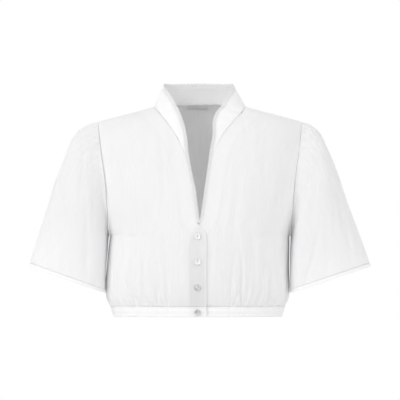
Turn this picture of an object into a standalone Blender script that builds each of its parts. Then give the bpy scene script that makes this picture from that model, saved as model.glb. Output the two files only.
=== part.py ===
"""Dirndl blouse: a short cotton blouse with a stand collar, a deep V neck edged with
lace, half sleeves gathered into the armholes and a gathered hem on an elastic casing.

It keeps the hollow form that it has when worn. Sizes are in millimetres, and each mesh
is turned into metres as it is made. X runs to the garment's own left, Y to the back and
Z up. The origin is on the centre line, level with the inner ends of the shoulder seams.
The body is one form surface: level ellipses up to the bust and the shoulder blades, and
above them rows that lift and roll over to the shoulder seams.
"""

import math

import bmesh
import bpy
import numpy as np

MM = 0.001

# Cloth and the gaps between neighbouring pieces
CLOTH = 1.2
CASING = 2.2
SEAM_GAP = 0.3
LAP_GAP = 0.7
LAP_RISE = 16.0

# Heights and half widths that the rest is worked out from
HEM_Z = -367.0
CASING_TALL = 18.0
BUST_Z = -245.0
BLADE_Z = -165.0
UNDERARM_Z = -225.0
TIP_Z = -26.0
NECK_X = 80.0
TIP_X = 179.0
TIP_Y = 8.0
RIDGE_RISE = 13.0
HEM_SWAY = -4.0
SWAY_START_Z = -205.0
SWAY_END_Z = -300.0
SQUARENESS = 2.25

# Roundness of the upright curves, at the neck and at the armhole
FRONT_ROUND = (1.7, 2.45)
BACK_ROUND = (3.6, 2.4)
BACK_NECK_LIFT = math.radians(67.0)

# Body sections: height, half width, depth to the front, depth to the back
SECTIONS = (
    (-367.0, 147.3, 100.0, 96.0),
    (-349.0, 152.6, 104.0, 99.0),
    (-335.0, 159.0, 110.0, 102.0),
    (-318.0, 161.2, 115.0, 104.0),
    (-290.0, 160.3, 120.0, 104.0),
    (-245.0, 158.2, 124.0, 103.0),
    (-225.0, 157.2, 124.0, 103.0),
    (-165.0, 163.0, 124.0, 106.0),
)

# Armhole: angle from the shoulder, half width, turn of the front row, turn of the back row
ARMHOLE = (
    (0.0, 179.0, 69.0, 69.0),
    (30.0, 177.0, 68.0, 68.0),
    (60.0, 173.0, 66.0, 66.5),
    (90.0, 166.5, 65.0, 66.0),
    (120.0, 162.5, 70.5, 70.5),
    (150.0, 159.5, 80.5, 80.5),
    (180.0, 157.2, 90.0, 90.0),
)
ARMHOLE_ANGLES = (0, 10, 20, 30, 42, 54, 66, 80, 95, 110, 120, 130, 143, 160, 180)

# Front edges below the shoulder: height, distance of the edge from the centre line
EDGE_RIGHT = (
    (-367.0, -15.5),
    (-300.0, -15.5),
    (-235.0, -13.0),
    (-222.0, -11.0),
    (-215.0, -6.5),
    (-209.0, 0.0),
    (-203.0, 5.0),
    (-196.0, 7.5),
    (-163.0, 11.5),
    (-145.0, 13.5),
    (-101.0, 22.5),
    (-84.0, 26.0),
    (-64.0, 33.5),
    (-44.0, 45.0),
    (-25.0, 60.0),
    (-9.0, 73.5),
    (0.0, 80.0),
)
EDGE_LEFT = (
    (-367.0, -15.0),
    (-240.0, -17.5),
    (-225.0, -17.0),
    (-215.0, -10.0),
    (-203.0, 0.0),
    (-194.0, 6.5),
    (-163.0, 11.5),
    (-145.0, 13.8),
    (-101.0, 20.2),
    (-84.0, 22.5),
    (-64.0, 30.5),
    (-44.0, 43.0),
    (-25.0, 59.0),
    (-9.0, 73.5),
    (0.0, 80.0),
)

# Rows of the body below the armhole, and how many of them keep every column
LOW_ROWS = (-340.0, -329.0, -315.0, -297.0, -272.0, -245.0)
FINE_ROWS = 5

# Columns of the panels, every one of them: flat by the centre, then four to a gather
FLAT_COLUMNS = 8
FLAT_SHARE = 0.275
GATHER_COLUMNS = 4
FRONT_GATHERS = 9
BACK_GATHERS = 18
NECK_COLUMNS = 12

# Gathers over the casing: depth, height to which they fade, one row each, used in turn
GATHERS = (
    (2.0, 26.0),
    (2.8, 48.0),
    (3.3, 82.0),
    (2.6, 56.0),
    (3.2, 70.0),
    (2.4, 44.0),
    (3.0, 60.0),
    (2.5, 40.0),
    (2.0, 34.0),
)
CASING_GATHER = 1.3

# Long soft folds: side, bottom x, bottom z, top x, top z, half width, depth
FOLDS = (
    (-1, 56.0, -349.0, 84.0, -160.0, 10.0, 3.4),
    (-1, 138.0, -300.0, 140.0, -170.0, 13.0, 4.0),
    (-1, 104.0, -335.0, 96.0, -215.0, 9.0, 2.0),
    (1, 72.0, -349.0, 61.0, -130.0, 10.0, 3.2),
    (1, 88.0, -335.0, 112.0, -205.0, 9.0, 2.4),
    (1, 120.0, -310.0, 150.0, -160.0, 10.0, 2.6),
)

# Sleeve rings: right outer x, z, left outer x, z, inner x, z, depth front, back, forward
SLEEVE_RINGS = (
    (190.5, -28.5, 190.0, -29.5, 159.0, -226.0, 48.0, 47.0, 0.0),
    (204.0, -35.5, 203.0, -38.0, 159.3, -233.0, 52.0, 50.0, 2.0),
    (217.0, -46.5, 213.5, -51.5, 159.4, -243.0, 55.0, 52.0, 6.0),
    (228.0, -65.0, 222.0, -70.0, 159.6, -256.0, 57.0, 54.0, 11.0),
    (240.0, -95.0, 233.5, -97.0, 160.2, -270.0, 58.5, 56.0, 15.0),
    (253.5, -131.0, 246.0, -131.0, 160.6, -285.0, 59.0, 57.0, 18.0),
    (268.0, -180.0, 263.0, -180.0, 160.9, -299.0, 58.5, 57.0, 20.0),
    (284.0, -231.0, 282.0, -231.0, 161.2, -311.0, 57.5, 56.0, 21.0),
    (297.2, -272.6, 296.8, -272.3, 161.5, -319.0, 56.5, 55.5, 22.0),
    (299.0, -278.3, 299.0, -278.3, 161.6, -325.0, 56.0, 55.0, 22.0),
)
SLEEVE_FINE_RINGS = 5
SLEEVE_HEM = 1.8

# Gathers of the sleeve cap from the shoulder down each side: depth
CAP_GATHERS = (2.6, 3.2, 2.2, 1.6)
CAP_FADE = (0.0, 0.7, 1.0, 0.75, 0.4, 0.2, 0.1, 0.0, 0.0)

# Collar: station, top edge x, y and z, from the V up to the middle of the back
COLLAR_EDGE = (
    (0.0, 26.0, -89.0, -84.0),
    (1.0, 29.5, -76.0, -50.0),
    (2.0, 35.0, -65.0, -27.0),
    (3.0, 41.0, -54.0, -10.0),
    (4.0, 49.0, -40.0, 5.0),
    (5.0, 58.5, -20.0, 20.0),
    (6.0, 65.5, 3.0, 30.0),
    (9.0, 45.0, 43.0, 34.0),
    (12.0, 0.0, 56.0, 35.5),
)
COLLAR_LEFT_SHIFT = (0.0, -1.5, -6.5, -7.0, -3.0, -3.5, -4.5, -2.0, 0.0)
COLLAR_ROWS = 3
COLLAR_BULGE = 1.6
COLLAR_END = 1.0
LACE_WIDE = 7.0
LACE_THICK = 1.0
LACE_END_Z = -204.0

# Buttons: shirt buttons on the right front, heights from the top one down
BUTTON_X = -4.4
BUTTON_HEIGHTS = (-226.0, -270.0, -315.0, -358.5)
BUTTON_RADIUS = 5.7
BUTTON_THICK = 2.4
BUTTON_RIM = 1.1
BUTTON_HOLE = 0.9
BUTTON_HOLE_APART = 2.6
BUTTON_SEGMENTS = 20

# Blank label inside the back of the neck
LABEL_X = -4.0
LABEL_WIDE = 36.0
LABEL_TALL = 11.0
LABEL_THICK = 1.0
LABEL_COLUMNS = 6

# Materials: colour, roughness
COTTON = ((0.905, 0.905, 0.92), 0.85)
LACE = ((0.93, 0.93, 0.93), 0.8)
PEARL = ((0.78, 0.78, 0.77), 0.25)
LABEL = ((0.9, 0.9, 0.9), 0.6)


def smooth_value(table, column, at):
    """A column of a table at given values of its first column, on a smooth curve."""
    rows = np.array(table, float)
    keys = rows[:, 0]
    values = rows[:, column]
    slopes = np.gradient(values, keys)
    at = np.clip(np.asarray(at, float), keys[0], keys[-1])
    low = np.clip(np.searchsorted(keys, at, side="right") - 1, 0, len(keys) - 2)
    step = keys[low + 1] - keys[low]
    t = (at - keys[low]) / step
    start = (1 + 2 * t) * (1 - t) ** 2 * values[low] + t * (1 - t) ** 2 * step * slopes[low]
    end = t * t * (3 - 2 * t) * values[low + 1] - t * t * (1 - t) * step * slopes[low + 1]
    return start + end


def smooth_step(start, end, at):
    """0 before start, 1 after end, and an even S curve between them."""
    t = np.clip((at - start) / (end - start), 0.0, 1.0)
    return t * t * (3 - 2 * t)


def unit(vectors):
    """The vectors of an array at length 1."""
    return vectors / np.maximum(np.linalg.norm(vectors, axis=-1, keepdims=True), 1e-9)


def ridge_z(x):
    """Height of the shoulder line: straight to the tip, and a low arch between the necks."""
    x = np.abs(x)
    slope = (TIP_Z - 0.0) / (TIP_X - NECK_X)
    return np.where(x < NECK_X, RIDGE_RISE * (1 - (x / NECK_X) ** 2), slope * (x - NECK_X))


def ridge_y(x):
    """Depth of the shoulder line, which runs back a little towards the tip."""
    return TIP_Y * np.clip((np.abs(x) - NECK_X) / (TIP_X - NECK_X), 0.0, 1.0)


def roundness(x, face):
    """Exponent of the upright curve at x. The front is face -1 and the back face 1."""
    neck, armhole = FRONT_ROUND if face < 0 else BACK_ROUND
    return neck + (armhole - neck) * smooth_step(0.0, 150.0, np.abs(x))


class Row:
    """One row of the body form, from the centre to the side, named by its armhole end."""

    def __init__(self, face, edge_z, edge_x, turn):
        full = BUST_Z if face < 0 else BLADE_Z
        column = 2 if face < 0 else 3
        self.face = face
        self.base = min(edge_z, full)
        self.depth = float(smooth_value(SECTIONS, column, self.base))
        self.turn = turn
        self.half = edge_x / math.sin(turn) ** (2 / SQUARENESS)
        share = (edge_z - self.base) / (ridge_z(edge_x) - self.base)
        power = float(roundness(edge_x, face)) / 2
        self.lift = math.asin(min(max(float(share), 0.0), 1.0) ** power)

    def angle_at(self, x):
        """Angle along the row at which it reaches x."""
        share = np.clip(np.abs(x) / self.half, 0.0, 1.0)
        return np.sign(x) * np.arcsin(share ** (SQUARENESS / 2))

    def point(self, angle, lift=None):
        """Points at angles from the centre line; x is positive outwards."""
        angle = np.asarray(angle, float)
        lift = self.lift if lift is None else lift
        x = np.sign(angle) * self.half * np.abs(np.sin(angle)) ** (2 / SQUARENESS)
        plan = np.abs(np.cos(angle)) ** (2 / SQUARENESS)
        power = 2 / roundness(x, self.face)
        rise = np.sin(lift) ** power
        z = self.base + (ridge_z(x) - self.base) * rise
        y = ridge_y(x) * rise + self.face * self.depth * plan * np.cos(lift) ** power
        return np.stack([x, y, z], axis=-1)


def armhole_row(angle, face):
    """The body's row that ends at this angle of the armhole, in degrees from the shoulder."""
    middle = (TIP_Z + UNDERARM_Z) / 2
    edge_z = middle + (TIP_Z - middle) * math.cos(math.radians(angle))
    edge_x = float(smooth_value(ARMHOLE, 1, angle))
    turn = float(smooth_value(ARMHOLE, 2 if face < 0 else 3, angle))
    return Row(face, edge_z, edge_x, math.radians(turn))


def level_row(z, face):
    """The body's row at a height below the armhole."""
    return Row(face, z, float(smooth_value(SECTIONS, 1, z)), math.pi / 2)


def panel_rows(face):
    """All rows of a body panel, from the top of the casing to the shoulder seam."""
    start = HEM_Z + CASING_TALL + SEAM_GAP
    low = [level_row(z, face) for z in (start,) + LOW_ROWS]
    return low + [armhole_row(angle, face) for angle in reversed(ARMHOLE_ANGLES)]


def edge_angle(row, edge):
    """Angle at which a row meets a front edge, found by a few steps of repeated aim."""
    x = 20.0
    for _ in range(30):
        z = float(row.point(row.angle_at(x))[2])
        x = 0.5 * (x + float(np.interp(z, [r[0] for r in edge], [r[1] for r in edge])))
    return float(row.angle_at(x))


def front_shares():
    """Share of a front row at each column: a few flat ones, then four to a gather."""
    flat = np.linspace(0.0, FLAT_SHARE, FLAT_COLUMNS + 1)
    full = np.linspace(FLAT_SHARE, 1.0, FRONT_GATHERS * GATHER_COLUMNS + 1)
    return np.concatenate([flat, full[1:]])


def gather_wave(columns, first, count):
    """Depth and reach of the gathers at each column: crest on every fourth one."""
    number = np.arange(columns) - first
    gather = np.clip(number // GATHER_COLUMNS, 0, count - 1) % len(GATHERS)
    wave = np.sin(math.pi * number / GATHER_COLUMNS) ** 2
    wave = np.where((number < 0) | (number > count * GATHER_COLUMNS), 0.0, wave)
    depth = np.array([GATHERS[k][0] for k in gather]) * wave
    reach = np.array([GATHERS[k][1] for k in gather])
    return depth, reach


def normals(grid, closed=False):
    """Unit normals of a grid of points, from its differences along both ways."""
    up = np.gradient(grid, axis=0)
    if closed:
        along = (np.roll(grid, -1, axis=1) - np.roll(grid, 1, axis=1)) / 2
    else:
        along = np.gradient(grid, axis=1)
    return unit(np.cross(along, up))


def fold_depth(grid, side):
    """How far the long soft folds press the cloth in: a rounded trough along each line."""
    depth = np.zeros(grid.shape[:2])
    for fold_side, x0, z0, x1, z1, half, deep in FOLDS:
        if fold_side != side:
            continue
        t = (grid[..., 2] - z0) / (z1 - z0)
        line = x0 + (x1 - x0) * np.clip(t, 0.0, 1.0)
        fade = smooth_step(-0.12, 0.15, t) * smooth_step(1.15, 0.6, t)
        depth += deep * fade * np.exp(-(((grid[..., 0] - line) / half) ** 2))
    return depth


def wall_mesh(name, outer, inner, finish, fine_rows=None, closed=False):
    """A closed wall between two grids. Rows past fine_rows keep every second column."""
    rows, columns = outer.shape[:2]
    fine_rows = rows if fine_rows is None else fine_rows
    kept = [list(range(0, columns, 1 if r < fine_rows else 2)) for r in range(rows)]
    index = {}
    points = []
    for grid_number, grid in enumerate((outer, inner)):
        for r in range(rows):
            for c in kept[r]:
                index[grid_number, r, c] = len(points)
                points.append(grid[r, c] * MM)
    skin = []
    for r in range(rows - 1):
        low, high = kept[r], kept[r + 1]
        for k in range(len(high) if closed else len(high) - 1):
            a, b = high[k], high[(k + 1) % len(high)]
            if len(low) == len(high):
                skin.append([(r, a), (r, b), (r + 1, b), (r + 1, a)])
            else:
                mid = a + 1
                skin.append([(r, a), (r, mid), (r + 1, a)])
                skin.append([(r, mid), (r, b), (r + 1, b)])
                skin.append([(r, mid), (r + 1, b), (r + 1, a)])
    rim = []
    for r in (0, rows - 1):
        ends = kept[r] + (kept[r][:1] if closed else [])
        rim += [((r, a), (r, b)) for a, b in zip(ends, ends[1:])]
    if not closed:
        for c in (0, columns - 1):
            rim += [((r, c), (r + 1, c)) for r in range(rows - 1)]
    faces = [[index[(0,) + corner] for corner in face] for face in skin]
    faces += [[index[(1,) + corner] for corner in reversed(face)] for face in skin]
    for a, b in rim:
        faces.append([index[(0,) + a], index[(0,) + b], index[(1,) + b], index[(1,) + a]])
    return solid(name, points, faces, finish)


def solid(name, points, faces, finish):
    """A named object with its own material, faces out and shaded smooth."""
    mesh = bpy.data.meshes.new(name)
    mesh.from_pydata([tuple(p) for p in points], [], faces)
    edit = bmesh.new()
    edit.from_mesh(mesh)
    bmesh.ops.recalc_face_normals(edit, faces=edit.faces)
    edit.to_mesh(mesh)
    edit.free()
    mesh.shade_smooth()
    mesh.set_sharp_from_angle(angle=math.radians(50))
    part = bpy.data.objects.new(name, mesh)
    bpy.context.scene.collection.objects.link(part)
    colour, rough = finish
    material = bpy.data.materials.new(name)
    material.use_nodes = True
    shader = material.node_tree.nodes["Principled BSDF"]
    shader.inputs["Base Color"].default_value = (*colour, 1.0)
    shader.inputs["Roughness"].default_value = rough
    shader.inputs["Metallic"].default_value = 0.0
    mesh.materials.append(material)
    return part


def sided(grid, side):
    """Points with x outwards, turned to the right (-1) or left (1) side."""
    return grid * np.array([side, 1.0, 1.0])


def sway(z):
    """Sideways shift of the body at a height: its lower part hangs a little to the right."""
    return HEM_SWAY * smooth_step(SWAY_START_Z, SWAY_END_Z, z)


def placed(grid, side):
    """Points of the body with x outwards, turned to their side and shifted by the sway."""
    grid = sided(grid, side)
    grid[..., 0] += sway(grid[..., 2])
    return grid


def lap_inset(grid, thickness):
    """How far the left front lies in where the right front laps over it."""
    x = grid[..., 0]
    z = grid[..., 2]
    lower = z - LAP_RISE
    reach = -np.interp(lower, [r[0] for r in EDGE_RIGHT], [r[1] for r in EDGE_RIGHT])
    under = smooth_step(reach + 15.0, reach + 3.0, x)
    low = smooth_step(-172.0, -188.0, z)
    return (thickness + LAP_GAP) * under * low


def front_grid(side, rows):
    """Outer points of a front panel, rows up and columns from the centre to the side."""
    edge = EDGE_RIGHT if side < 0 else EDGE_LEFT
    shares = front_shares()
    grid = []
    for row in rows:
        start = edge_angle(row, edge)
        grid.append(row.point(start + (row.turn - start) * shares))
    return np.array(grid)


def outward(grid, side_sign=1.0):
    """Normals of a grid turned to point away from the hollow inside."""
    facing = normals(grid)
    away = grid - np.array([0.0, 0.0, -200.0])
    flip = np.sign((facing * away).sum())
    return facing * flip * side_sign


def gathered(grid, depth, reach, side):
    """A panel's grid with its gathers and long folds pressed in."""
    above = np.maximum(grid[..., 2] - (HEM_Z + CASING_TALL), 0.0)
    press = depth[None, :] * np.exp(-((above / reach[None, :]) ** 1.5))
    if side:
        press = press + fold_depth(grid, side)
    return grid - outward(grid) * press[..., None]


def front_panel(side):
    """A front from the casing to the shoulder seam, with its V edge and armhole."""
    grid = front_grid(side, panel_rows(-1))
    depth, reach = gather_wave(grid.shape[1], FLAT_COLUMNS, FRONT_GATHERS)
    outer = gathered(grid, depth, reach, side)
    if side > 0:
        outer = outer - outward(outer) * lap_inset(outer, CLOTH)[..., None]
    inner = outer - outward(outer) * CLOTH
    at_seams(outer, inner, -1, (-1,))
    name = "front_right" if side < 0 else "front_left"
    wall_mesh(name, placed(outer, side), placed(inner, side), COTTON, FINE_ROWS)
    return outer


def at_seams(outer, inner, face, sides):
    """Keeps half a seam gap at the bottom, at the side seams and at the shoulder seams."""
    below = len(LOW_ROWS) + 2
    inner[0, :, 2] = outer[0, :, 2]
    outer[-1, :, 1] += face * SEAM_GAP / 2
    inner[-1, :, 1] = outer[-1, :, 1]
    for wall in (outer, inner):
        for column in sides:
            wall[:below, column, 1] = face * SEAM_GAP / 2


def back_lift(row, share):
    """Lift of a back row at each share: it dips towards the middle, under the neck."""
    neck = np.clip(np.abs(share) / neck_share(), 0.0, 1.0)
    top = math.pi / 2 - (math.pi / 2 - BACK_NECK_LIFT) * (1 - neck ** 2)
    return row.lift * top / (math.pi / 2)


def neck_share():
    """Share of the top back row at which it reaches the neck end of the shoulder seam."""
    top = armhole_row(0.0, 1)
    return float(top.angle_at(NECK_X)) / top.turn


def back_shares():
    """Share of a back row at each column, from the right side to the left one."""
    half = BACK_GATHERS * GATHER_COLUMNS // 2
    inner = np.linspace(0.0, neck_share(), NECK_COLUMNS + 1)
    outer = np.linspace(neck_share(), 1.0, half - NECK_COLUMNS + 1)
    positive = np.concatenate([inner, outer[1:]])
    return np.concatenate([-positive[:0:-1], positive])


def back_grid(rows):
    """Outer points of the back, rows up and columns from right to left."""
    shares = back_shares()
    return np.array([row.point(row.turn * shares, back_lift(row, shares)) for row in rows])


def back_panel():
    """The back from the casing to the shoulder seams and the neck."""
    grid = back_grid(panel_rows(1))
    depth, reach = gather_wave(grid.shape[1], 0, BACK_GATHERS)
    outer = gathered(grid, depth, reach, 0)
    inner = outer - outward(outer) * CLOTH
    at_seams(outer, inner, 1, (0, -1))
    wall_mesh("back", placed(outer, 1), placed(inner, 1), COTTON, FINE_ROWS)
    return grid


def casing_wall(name, face, shares, side, first, gathers):
    """A length of the hem casing: a low wall with the gathers drawn up in it."""
    grid = []
    for z in (HEM_Z, HEM_Z + CASING_TALL):
        row = level_row(z, face)
        start = edge_angle(row, EDGE_RIGHT if side < 0 else EDGE_LEFT) if side else 0.0
        grid.append(row.point(start + (row.turn - start) * shares))
    grid = np.array(grid)
    depth, _ = gather_wave(grid.shape[1], first, gathers)
    press = np.minimum(depth, CASING_GATHER)
    outer = grid - outward(grid) * press[None, :, None]
    if side > 0:
        outer = outer - outward(outer) * lap_inset(outer, CASING)[..., None]
    outer[..., 2] = grid[..., 2]
    inner = outer - outward(outer) * CASING
    inner[..., 2] = grid[..., 2]
    for wall in (outer, inner):
        wall[:, -1, 1] = face * SEAM_GAP / 2
        if not side:
            wall[:, 0, 1] = face * SEAM_GAP / 2
    turn = side if side else 1
    wall_mesh(name, placed(outer, turn), placed(inner, turn), COTTON)


def armhole_loop():
    """Outer points round the armhole: down the front edge and up the back edge."""
    front = [armhole_row(a, -1) for a in fine_angles()]
    back = [armhole_row(a, 1) for a in fine_angles()]
    down = [row.point(row.turn) for row in front]
    up = [row.point(row.turn) for row in back[::-1]]
    return np.array(down + up[1:-1])


def fine_angles():
    """The armhole's angles with one more between each two."""
    coarse = np.array(ARMHOLE_ANGLES, float)
    return np.sort(np.concatenate([coarse, (coarse[1:] + coarse[:-1]) / 2]))


def ellipse_ring(outer, inner, front, back, angles):
    """A sleeve ring: an ellipse from its outer end round the front to its inner end."""
    across = np.cos(angles)
    deep = np.sin(angles)
    x = (outer[0] + inner[0]) / 2 + (outer[0] - inner[0]) / 2 * across
    z = (outer[1] + inner[1]) / 2 + (outer[1] - inner[1]) / 2 * across
    y = np.where(deep > 0, -front, -back) * deep
    return np.stack([x, y, z], axis=-1)


def sleeve_grids(side):
    """Outer points of a sleeve and of its turned hem, rings down and columns round."""
    down = np.radians(fine_angles())
    angles = np.concatenate([down, 2 * math.pi - down[-2:0:-1]])
    loop = armhole_loop()
    first = ellipse_ring((TIP_X, TIP_Z), (loop[:, 0].min(), UNDERARM_Z), 46.0, 45.0, angles)
    under = smooth_step(-200.0, -224.0, loop[:, 2])[:, None]
    step = (1 - under) * np.array([0.5, 0.0, 0.0]) + under * np.array([0.3, 0.0, 0.7])
    loop = sided(placed(loop, side), side)
    rings = [loop + step]
    pick = 0 if side < 0 else 2
    for number, ring in enumerate(SLEEVE_RINGS):
        outer = ring[pick:pick + 2]
        inner = (ring[4] + side * sway(ring[5]), ring[5])
        shape = ellipse_ring(outer, inner, ring[6], ring[7], angles)
        shape[:, 1] -= ring[8]
        keep = max(0.0, 1 - (number + 1) / SLEEVE_FINE_RINGS) ** 2
        rings.append(shape + keep * (loop - first))
    return np.array(rings)


def sleeve(side):
    """A half sleeve with its gathered cap, and the narrow hem turned up at its end."""
    rings = sleeve_grids(side)
    columns = rings.shape[1]
    centre = rings.mean(axis=1, keepdims=True)
    number = np.arange(columns)
    from_top = np.minimum(number, columns - number)
    gather = np.minimum(from_top // GATHER_COLUMNS, len(CAP_GATHERS) - 1)
    wave = np.sin(math.pi * from_top / GATHER_COLUMNS) ** 2
    wave = np.where(from_top > GATHER_COLUMNS * len(CAP_GATHERS), 0.0, wave)
    depth = np.array([CAP_GATHERS[k] for k in gather]) * wave
    cap = rings[:-1]
    fade = np.interp(np.arange(len(cap)), np.arange(len(CAP_FADE)), CAP_FADE)
    facing = normals(cap, closed=True)
    facing *= np.sign((facing * (cap - centre[:-1])).sum())
    outer = cap - facing * (fade[:, None] * depth[None, :])[..., None]
    facing = normals(outer, closed=True)
    facing *= np.sign((facing * (outer - centre[:-1])).sum())
    inner = outer - facing * CLOTH
    word = "right" if side < 0 else "left"
    wall_mesh(f"sleeve_{word}", sided(outer, side), sided(inner, side), COTTON,
              SLEEVE_FINE_RINGS, closed=True)
    down = unit(rings[-1] - rings[-2])
    hem = np.array([rings[-2] + down * SEAM_GAP, rings[-1]])[:, ::2]
    facing = normals(hem, closed=True)
    facing *= np.sign((facing * (hem - hem.mean(axis=1, keepdims=True))).sum())
    wall_mesh(f"sleeve_hem_{word}", sided(hem, side), sided(hem - facing * SLEEVE_HEM, side),
              COTTON, closed=True)


def neck_seam(front, left, back):
    """Outer points of the neck seam from the right V round the back to the left V."""
    start = len(front) - 1 - ARMHOLE_ANGLES.index(66)
    right = sided(front[start:, 0], -1)
    middle = np.abs(back[-1, :, 0]) < NECK_X - 0.5
    behind = back[-1][middle][::2]
    return np.concatenate([right, behind, left[start:, 0][::-1]])


def collar_top(seam):
    """Top edge of the collar at each station of the neck seam."""
    count = len(seam)
    middle = (count - 1) / 2
    station = 12.0 * (1 - np.abs(np.arange(count) - middle) / middle)
    left = np.arange(count) > middle
    edge = np.stack([smooth_value(COLLAR_EDGE, k, station) for k in (1, 2, 3)], axis=-1)
    shift = tuple((row[0], s) for row, s in zip(COLLAR_EDGE, COLLAR_LEFT_SHIFT))
    edge[:, 0] += np.where(left, smooth_value(shift, 1, station), 0.0)
    edge[:, 0] *= np.where(left, 1.0, -1.0)
    return edge


def collar_and_lace(front, left, back):
    """The stand collar on the neck seam, and the lace on its edge and on the V edges."""
    seam = neck_seam(front, left, back)
    top = collar_top(seam)
    height = np.linalg.norm(top - seam, axis=1)
    rise = unit(top - seam)
    top[0] = seam[0] + rise[1] * COLLAR_END
    top[-1] = seam[-1] + rise[-2] * COLLAR_END
    rise = unit(top - seam)
    away = unit(np.cross(np.gradient(seam, axis=0), rise))
    away *= np.sign((away * (seam - np.array([0.0, 0.0, -20.0]))).sum())
    shares = np.linspace(0.0, 1.0, COLLAR_ROWS + 1)
    low = seam + rise * SEAM_GAP * 2
    bulge = COLLAR_BULGE * np.minimum(height / 30.0, 1.0)
    outer = np.array([
        low + (top - low) * t + away * (4 * t * (1 - t) * bulge)[:, None] for t in shares
    ])
    inner = outer - away[None] * CLOTH
    wall_mesh("collar", outer, inner, COTTON)
    strip_base, strip_tip, strip_away = lace_path(front, left, top, rise, away)
    depth = (CLOTH - LACE_THICK) / 2
    near = np.array([strip_base, strip_tip]) - strip_away[None] * depth
    far = near - strip_away[None] * LACE_THICK
    wall_mesh("lace_edging", near, far, LACE)
    return top, away


def v_lace(grid, side):
    """Base, tip and facing of the lace down one V edge, from the collar to the V point."""
    start = len(grid) - 1 - ARMHOLE_ANGLES.index(66)
    edge = grid[:start, 0]
    inward = unit(edge - grid[:start, 2])
    facing = outward(grid)[:start, 0]
    first = int(np.argmax(edge[:, 2] > LACE_END_Z))
    low, high = edge[first - 1, 2], edge[first, 2]
    share = (LACE_END_Z - low) / (high - low)
    base, inward, facing = (
        np.concatenate([[v[first - 1] + (v[first] - v[first - 1]) * share], v[first:]])
        for v in (edge, inward, facing)
    )
    base = base + inward * SEAM_GAP
    return sided(base, side), sided(base + inward * LACE_WIDE, side), sided(facing, side)


def lace_path(front, left, top, rise, away):
    """The lace's base, tip and facing along its whole length, right V to left V."""
    right_v = v_lace(front, -1)
    left_v = v_lace(left, 1)
    round_neck = (top + rise * SEAM_GAP, top + rise * (SEAM_GAP + LACE_WIDE), away)
    return tuple(
        np.concatenate([a, b, c[::-1]]) for a, b, c in zip(right_v, round_neck, left_v)
    )


def centre_point(z):
    """Point of the front's outer face on its centre line at a height."""
    if z <= BUST_Z:
        return level_row(z, -1).point(0.0)
    share = (z - BUST_Z) / (float(ridge_z(0.0)) - BUST_Z)
    power = float(roundness(0.0, -1))
    depth = float(smooth_value(SECTIONS, 2, BUST_Z))
    return np.array([0.0, -depth * (1 - share ** power) ** (1 / power), z])


def button(number, z):
    """A turned shirt button with a raised rim and two holes, flat on the right front."""
    seat = centre_point(z)
    tilt = math.atan2(seat[1] - centre_point(z + 4.0)[1], 4.0)
    profile = (
        (0.0, 0.0),
        (BUTTON_RADIUS - 0.7, 0.0),
        (BUTTON_RADIUS, 0.8),
        (BUTTON_RADIUS - 0.3, BUTTON_THICK - 0.3),
        (BUTTON_RADIUS - BUTTON_RIM, BUTTON_THICK),
        (BUTTON_RADIUS - BUTTON_RIM - 1.0, BUTTON_THICK - 0.8),
        (0.0, BUTTON_THICK - 0.9),
    )
    points = []
    faces = []
    turns = np.linspace(0.0, 2 * math.pi, BUTTON_SEGMENTS, endpoint=False)
    for radius, high in profile[1:-1]:
        points += [(radius * math.cos(a), radius * math.sin(a), high) for a in turns]
    rings = len(profile) - 2
    for r in range(rings - 1):
        for k in range(BUTTON_SEGMENTS):
            j = (k + 1) % BUTTON_SEGMENTS
            a, b = r * BUTTON_SEGMENTS, (r + 1) * BUTTON_SEGMENTS
            faces.append([a + k, a + j, b + j, b + k])
    faces.append(list(range(BUTTON_SEGMENTS))[::-1])
    last = (rings - 1) * BUTTON_SEGMENTS
    faces.append([last + k for k in range(BUTTON_SEGMENTS)])
    cos_t, sin_t = math.cos(tilt), math.sin(tilt)
    placed = []
    for x, up, high in points:
        out = high + 0.5
        placed.append((
            (BUTTON_X + x) * MM,
            (seat[1] - out * cos_t - up * sin_t) * MM,
            (seat[2] + up * cos_t - out * sin_t) * MM,
        ))
    disc = solid(f"button_{number}", placed, faces, PEARL)
    for place in (-0.5, 0.5):
        hole = button_hole(seat, tilt, place * BUTTON_HOLE_APART, number)
        cut = disc.modifiers.new("hole", "BOOLEAN")
        cut.operation = "DIFFERENCE"
        cut.object = hole
    return disc


def button_hole(seat, tilt, up, number):
    """A cutter for one hole of a button, as long as the button is thick and more."""
    bpy.ops.mesh.primitive_cylinder_add(vertices=8, radius=BUTTON_HOLE * MM, depth=12 * MM)
    cutter = bpy.context.object
    cutter.name = f"hole_{number}"
    cutter.rotation_euler = (math.pi / 2 + tilt, 0.0, 0.0)
    cutter.location = (
        BUTTON_X * MM,
        (seat[1] - up * math.sin(tilt)) * MM,
        (seat[2] + up * math.cos(tilt)) * MM,
    )
    cutter.hide_render = True
    cutter.display_type = "WIRE"
    return cutter


def neck_label(back):
    """The blank label: the back's inner points below the neck seam, moved in."""
    rows = panel_rows(1)
    top = rows[-1]
    base = rows[-4]
    xs = np.linspace(LABEL_X - LABEL_WIDE / 2, LABEL_X + LABEL_WIDE / 2, LABEL_COLUMNS + 1)
    lines = []
    for row in (base, top):
        share = row.angle_at(xs) / row.turn
        lines.append(row.point(row.angle_at(xs), back_lift(row, share)))
    low, high = lines
    down = unit(low - high)
    away = unit(np.cross(np.gradient(high, axis=0), down))
    away *= np.sign((away * np.array([0.0, 1.0, 0.0])).sum())
    upper = high + down * 1.5 - away * (CLOTH + SEAM_GAP)
    grid = np.array([upper + down * LABEL_TALL, upper])
    wall_mesh("neck_label", grid, grid - away[None] * LABEL_THICK, LABEL)


def clear_scene():
    """Removes what the scene holds."""
    for old in list(bpy.data.objects):
        bpy.data.objects.remove(old, do_unlink=True)


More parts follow.
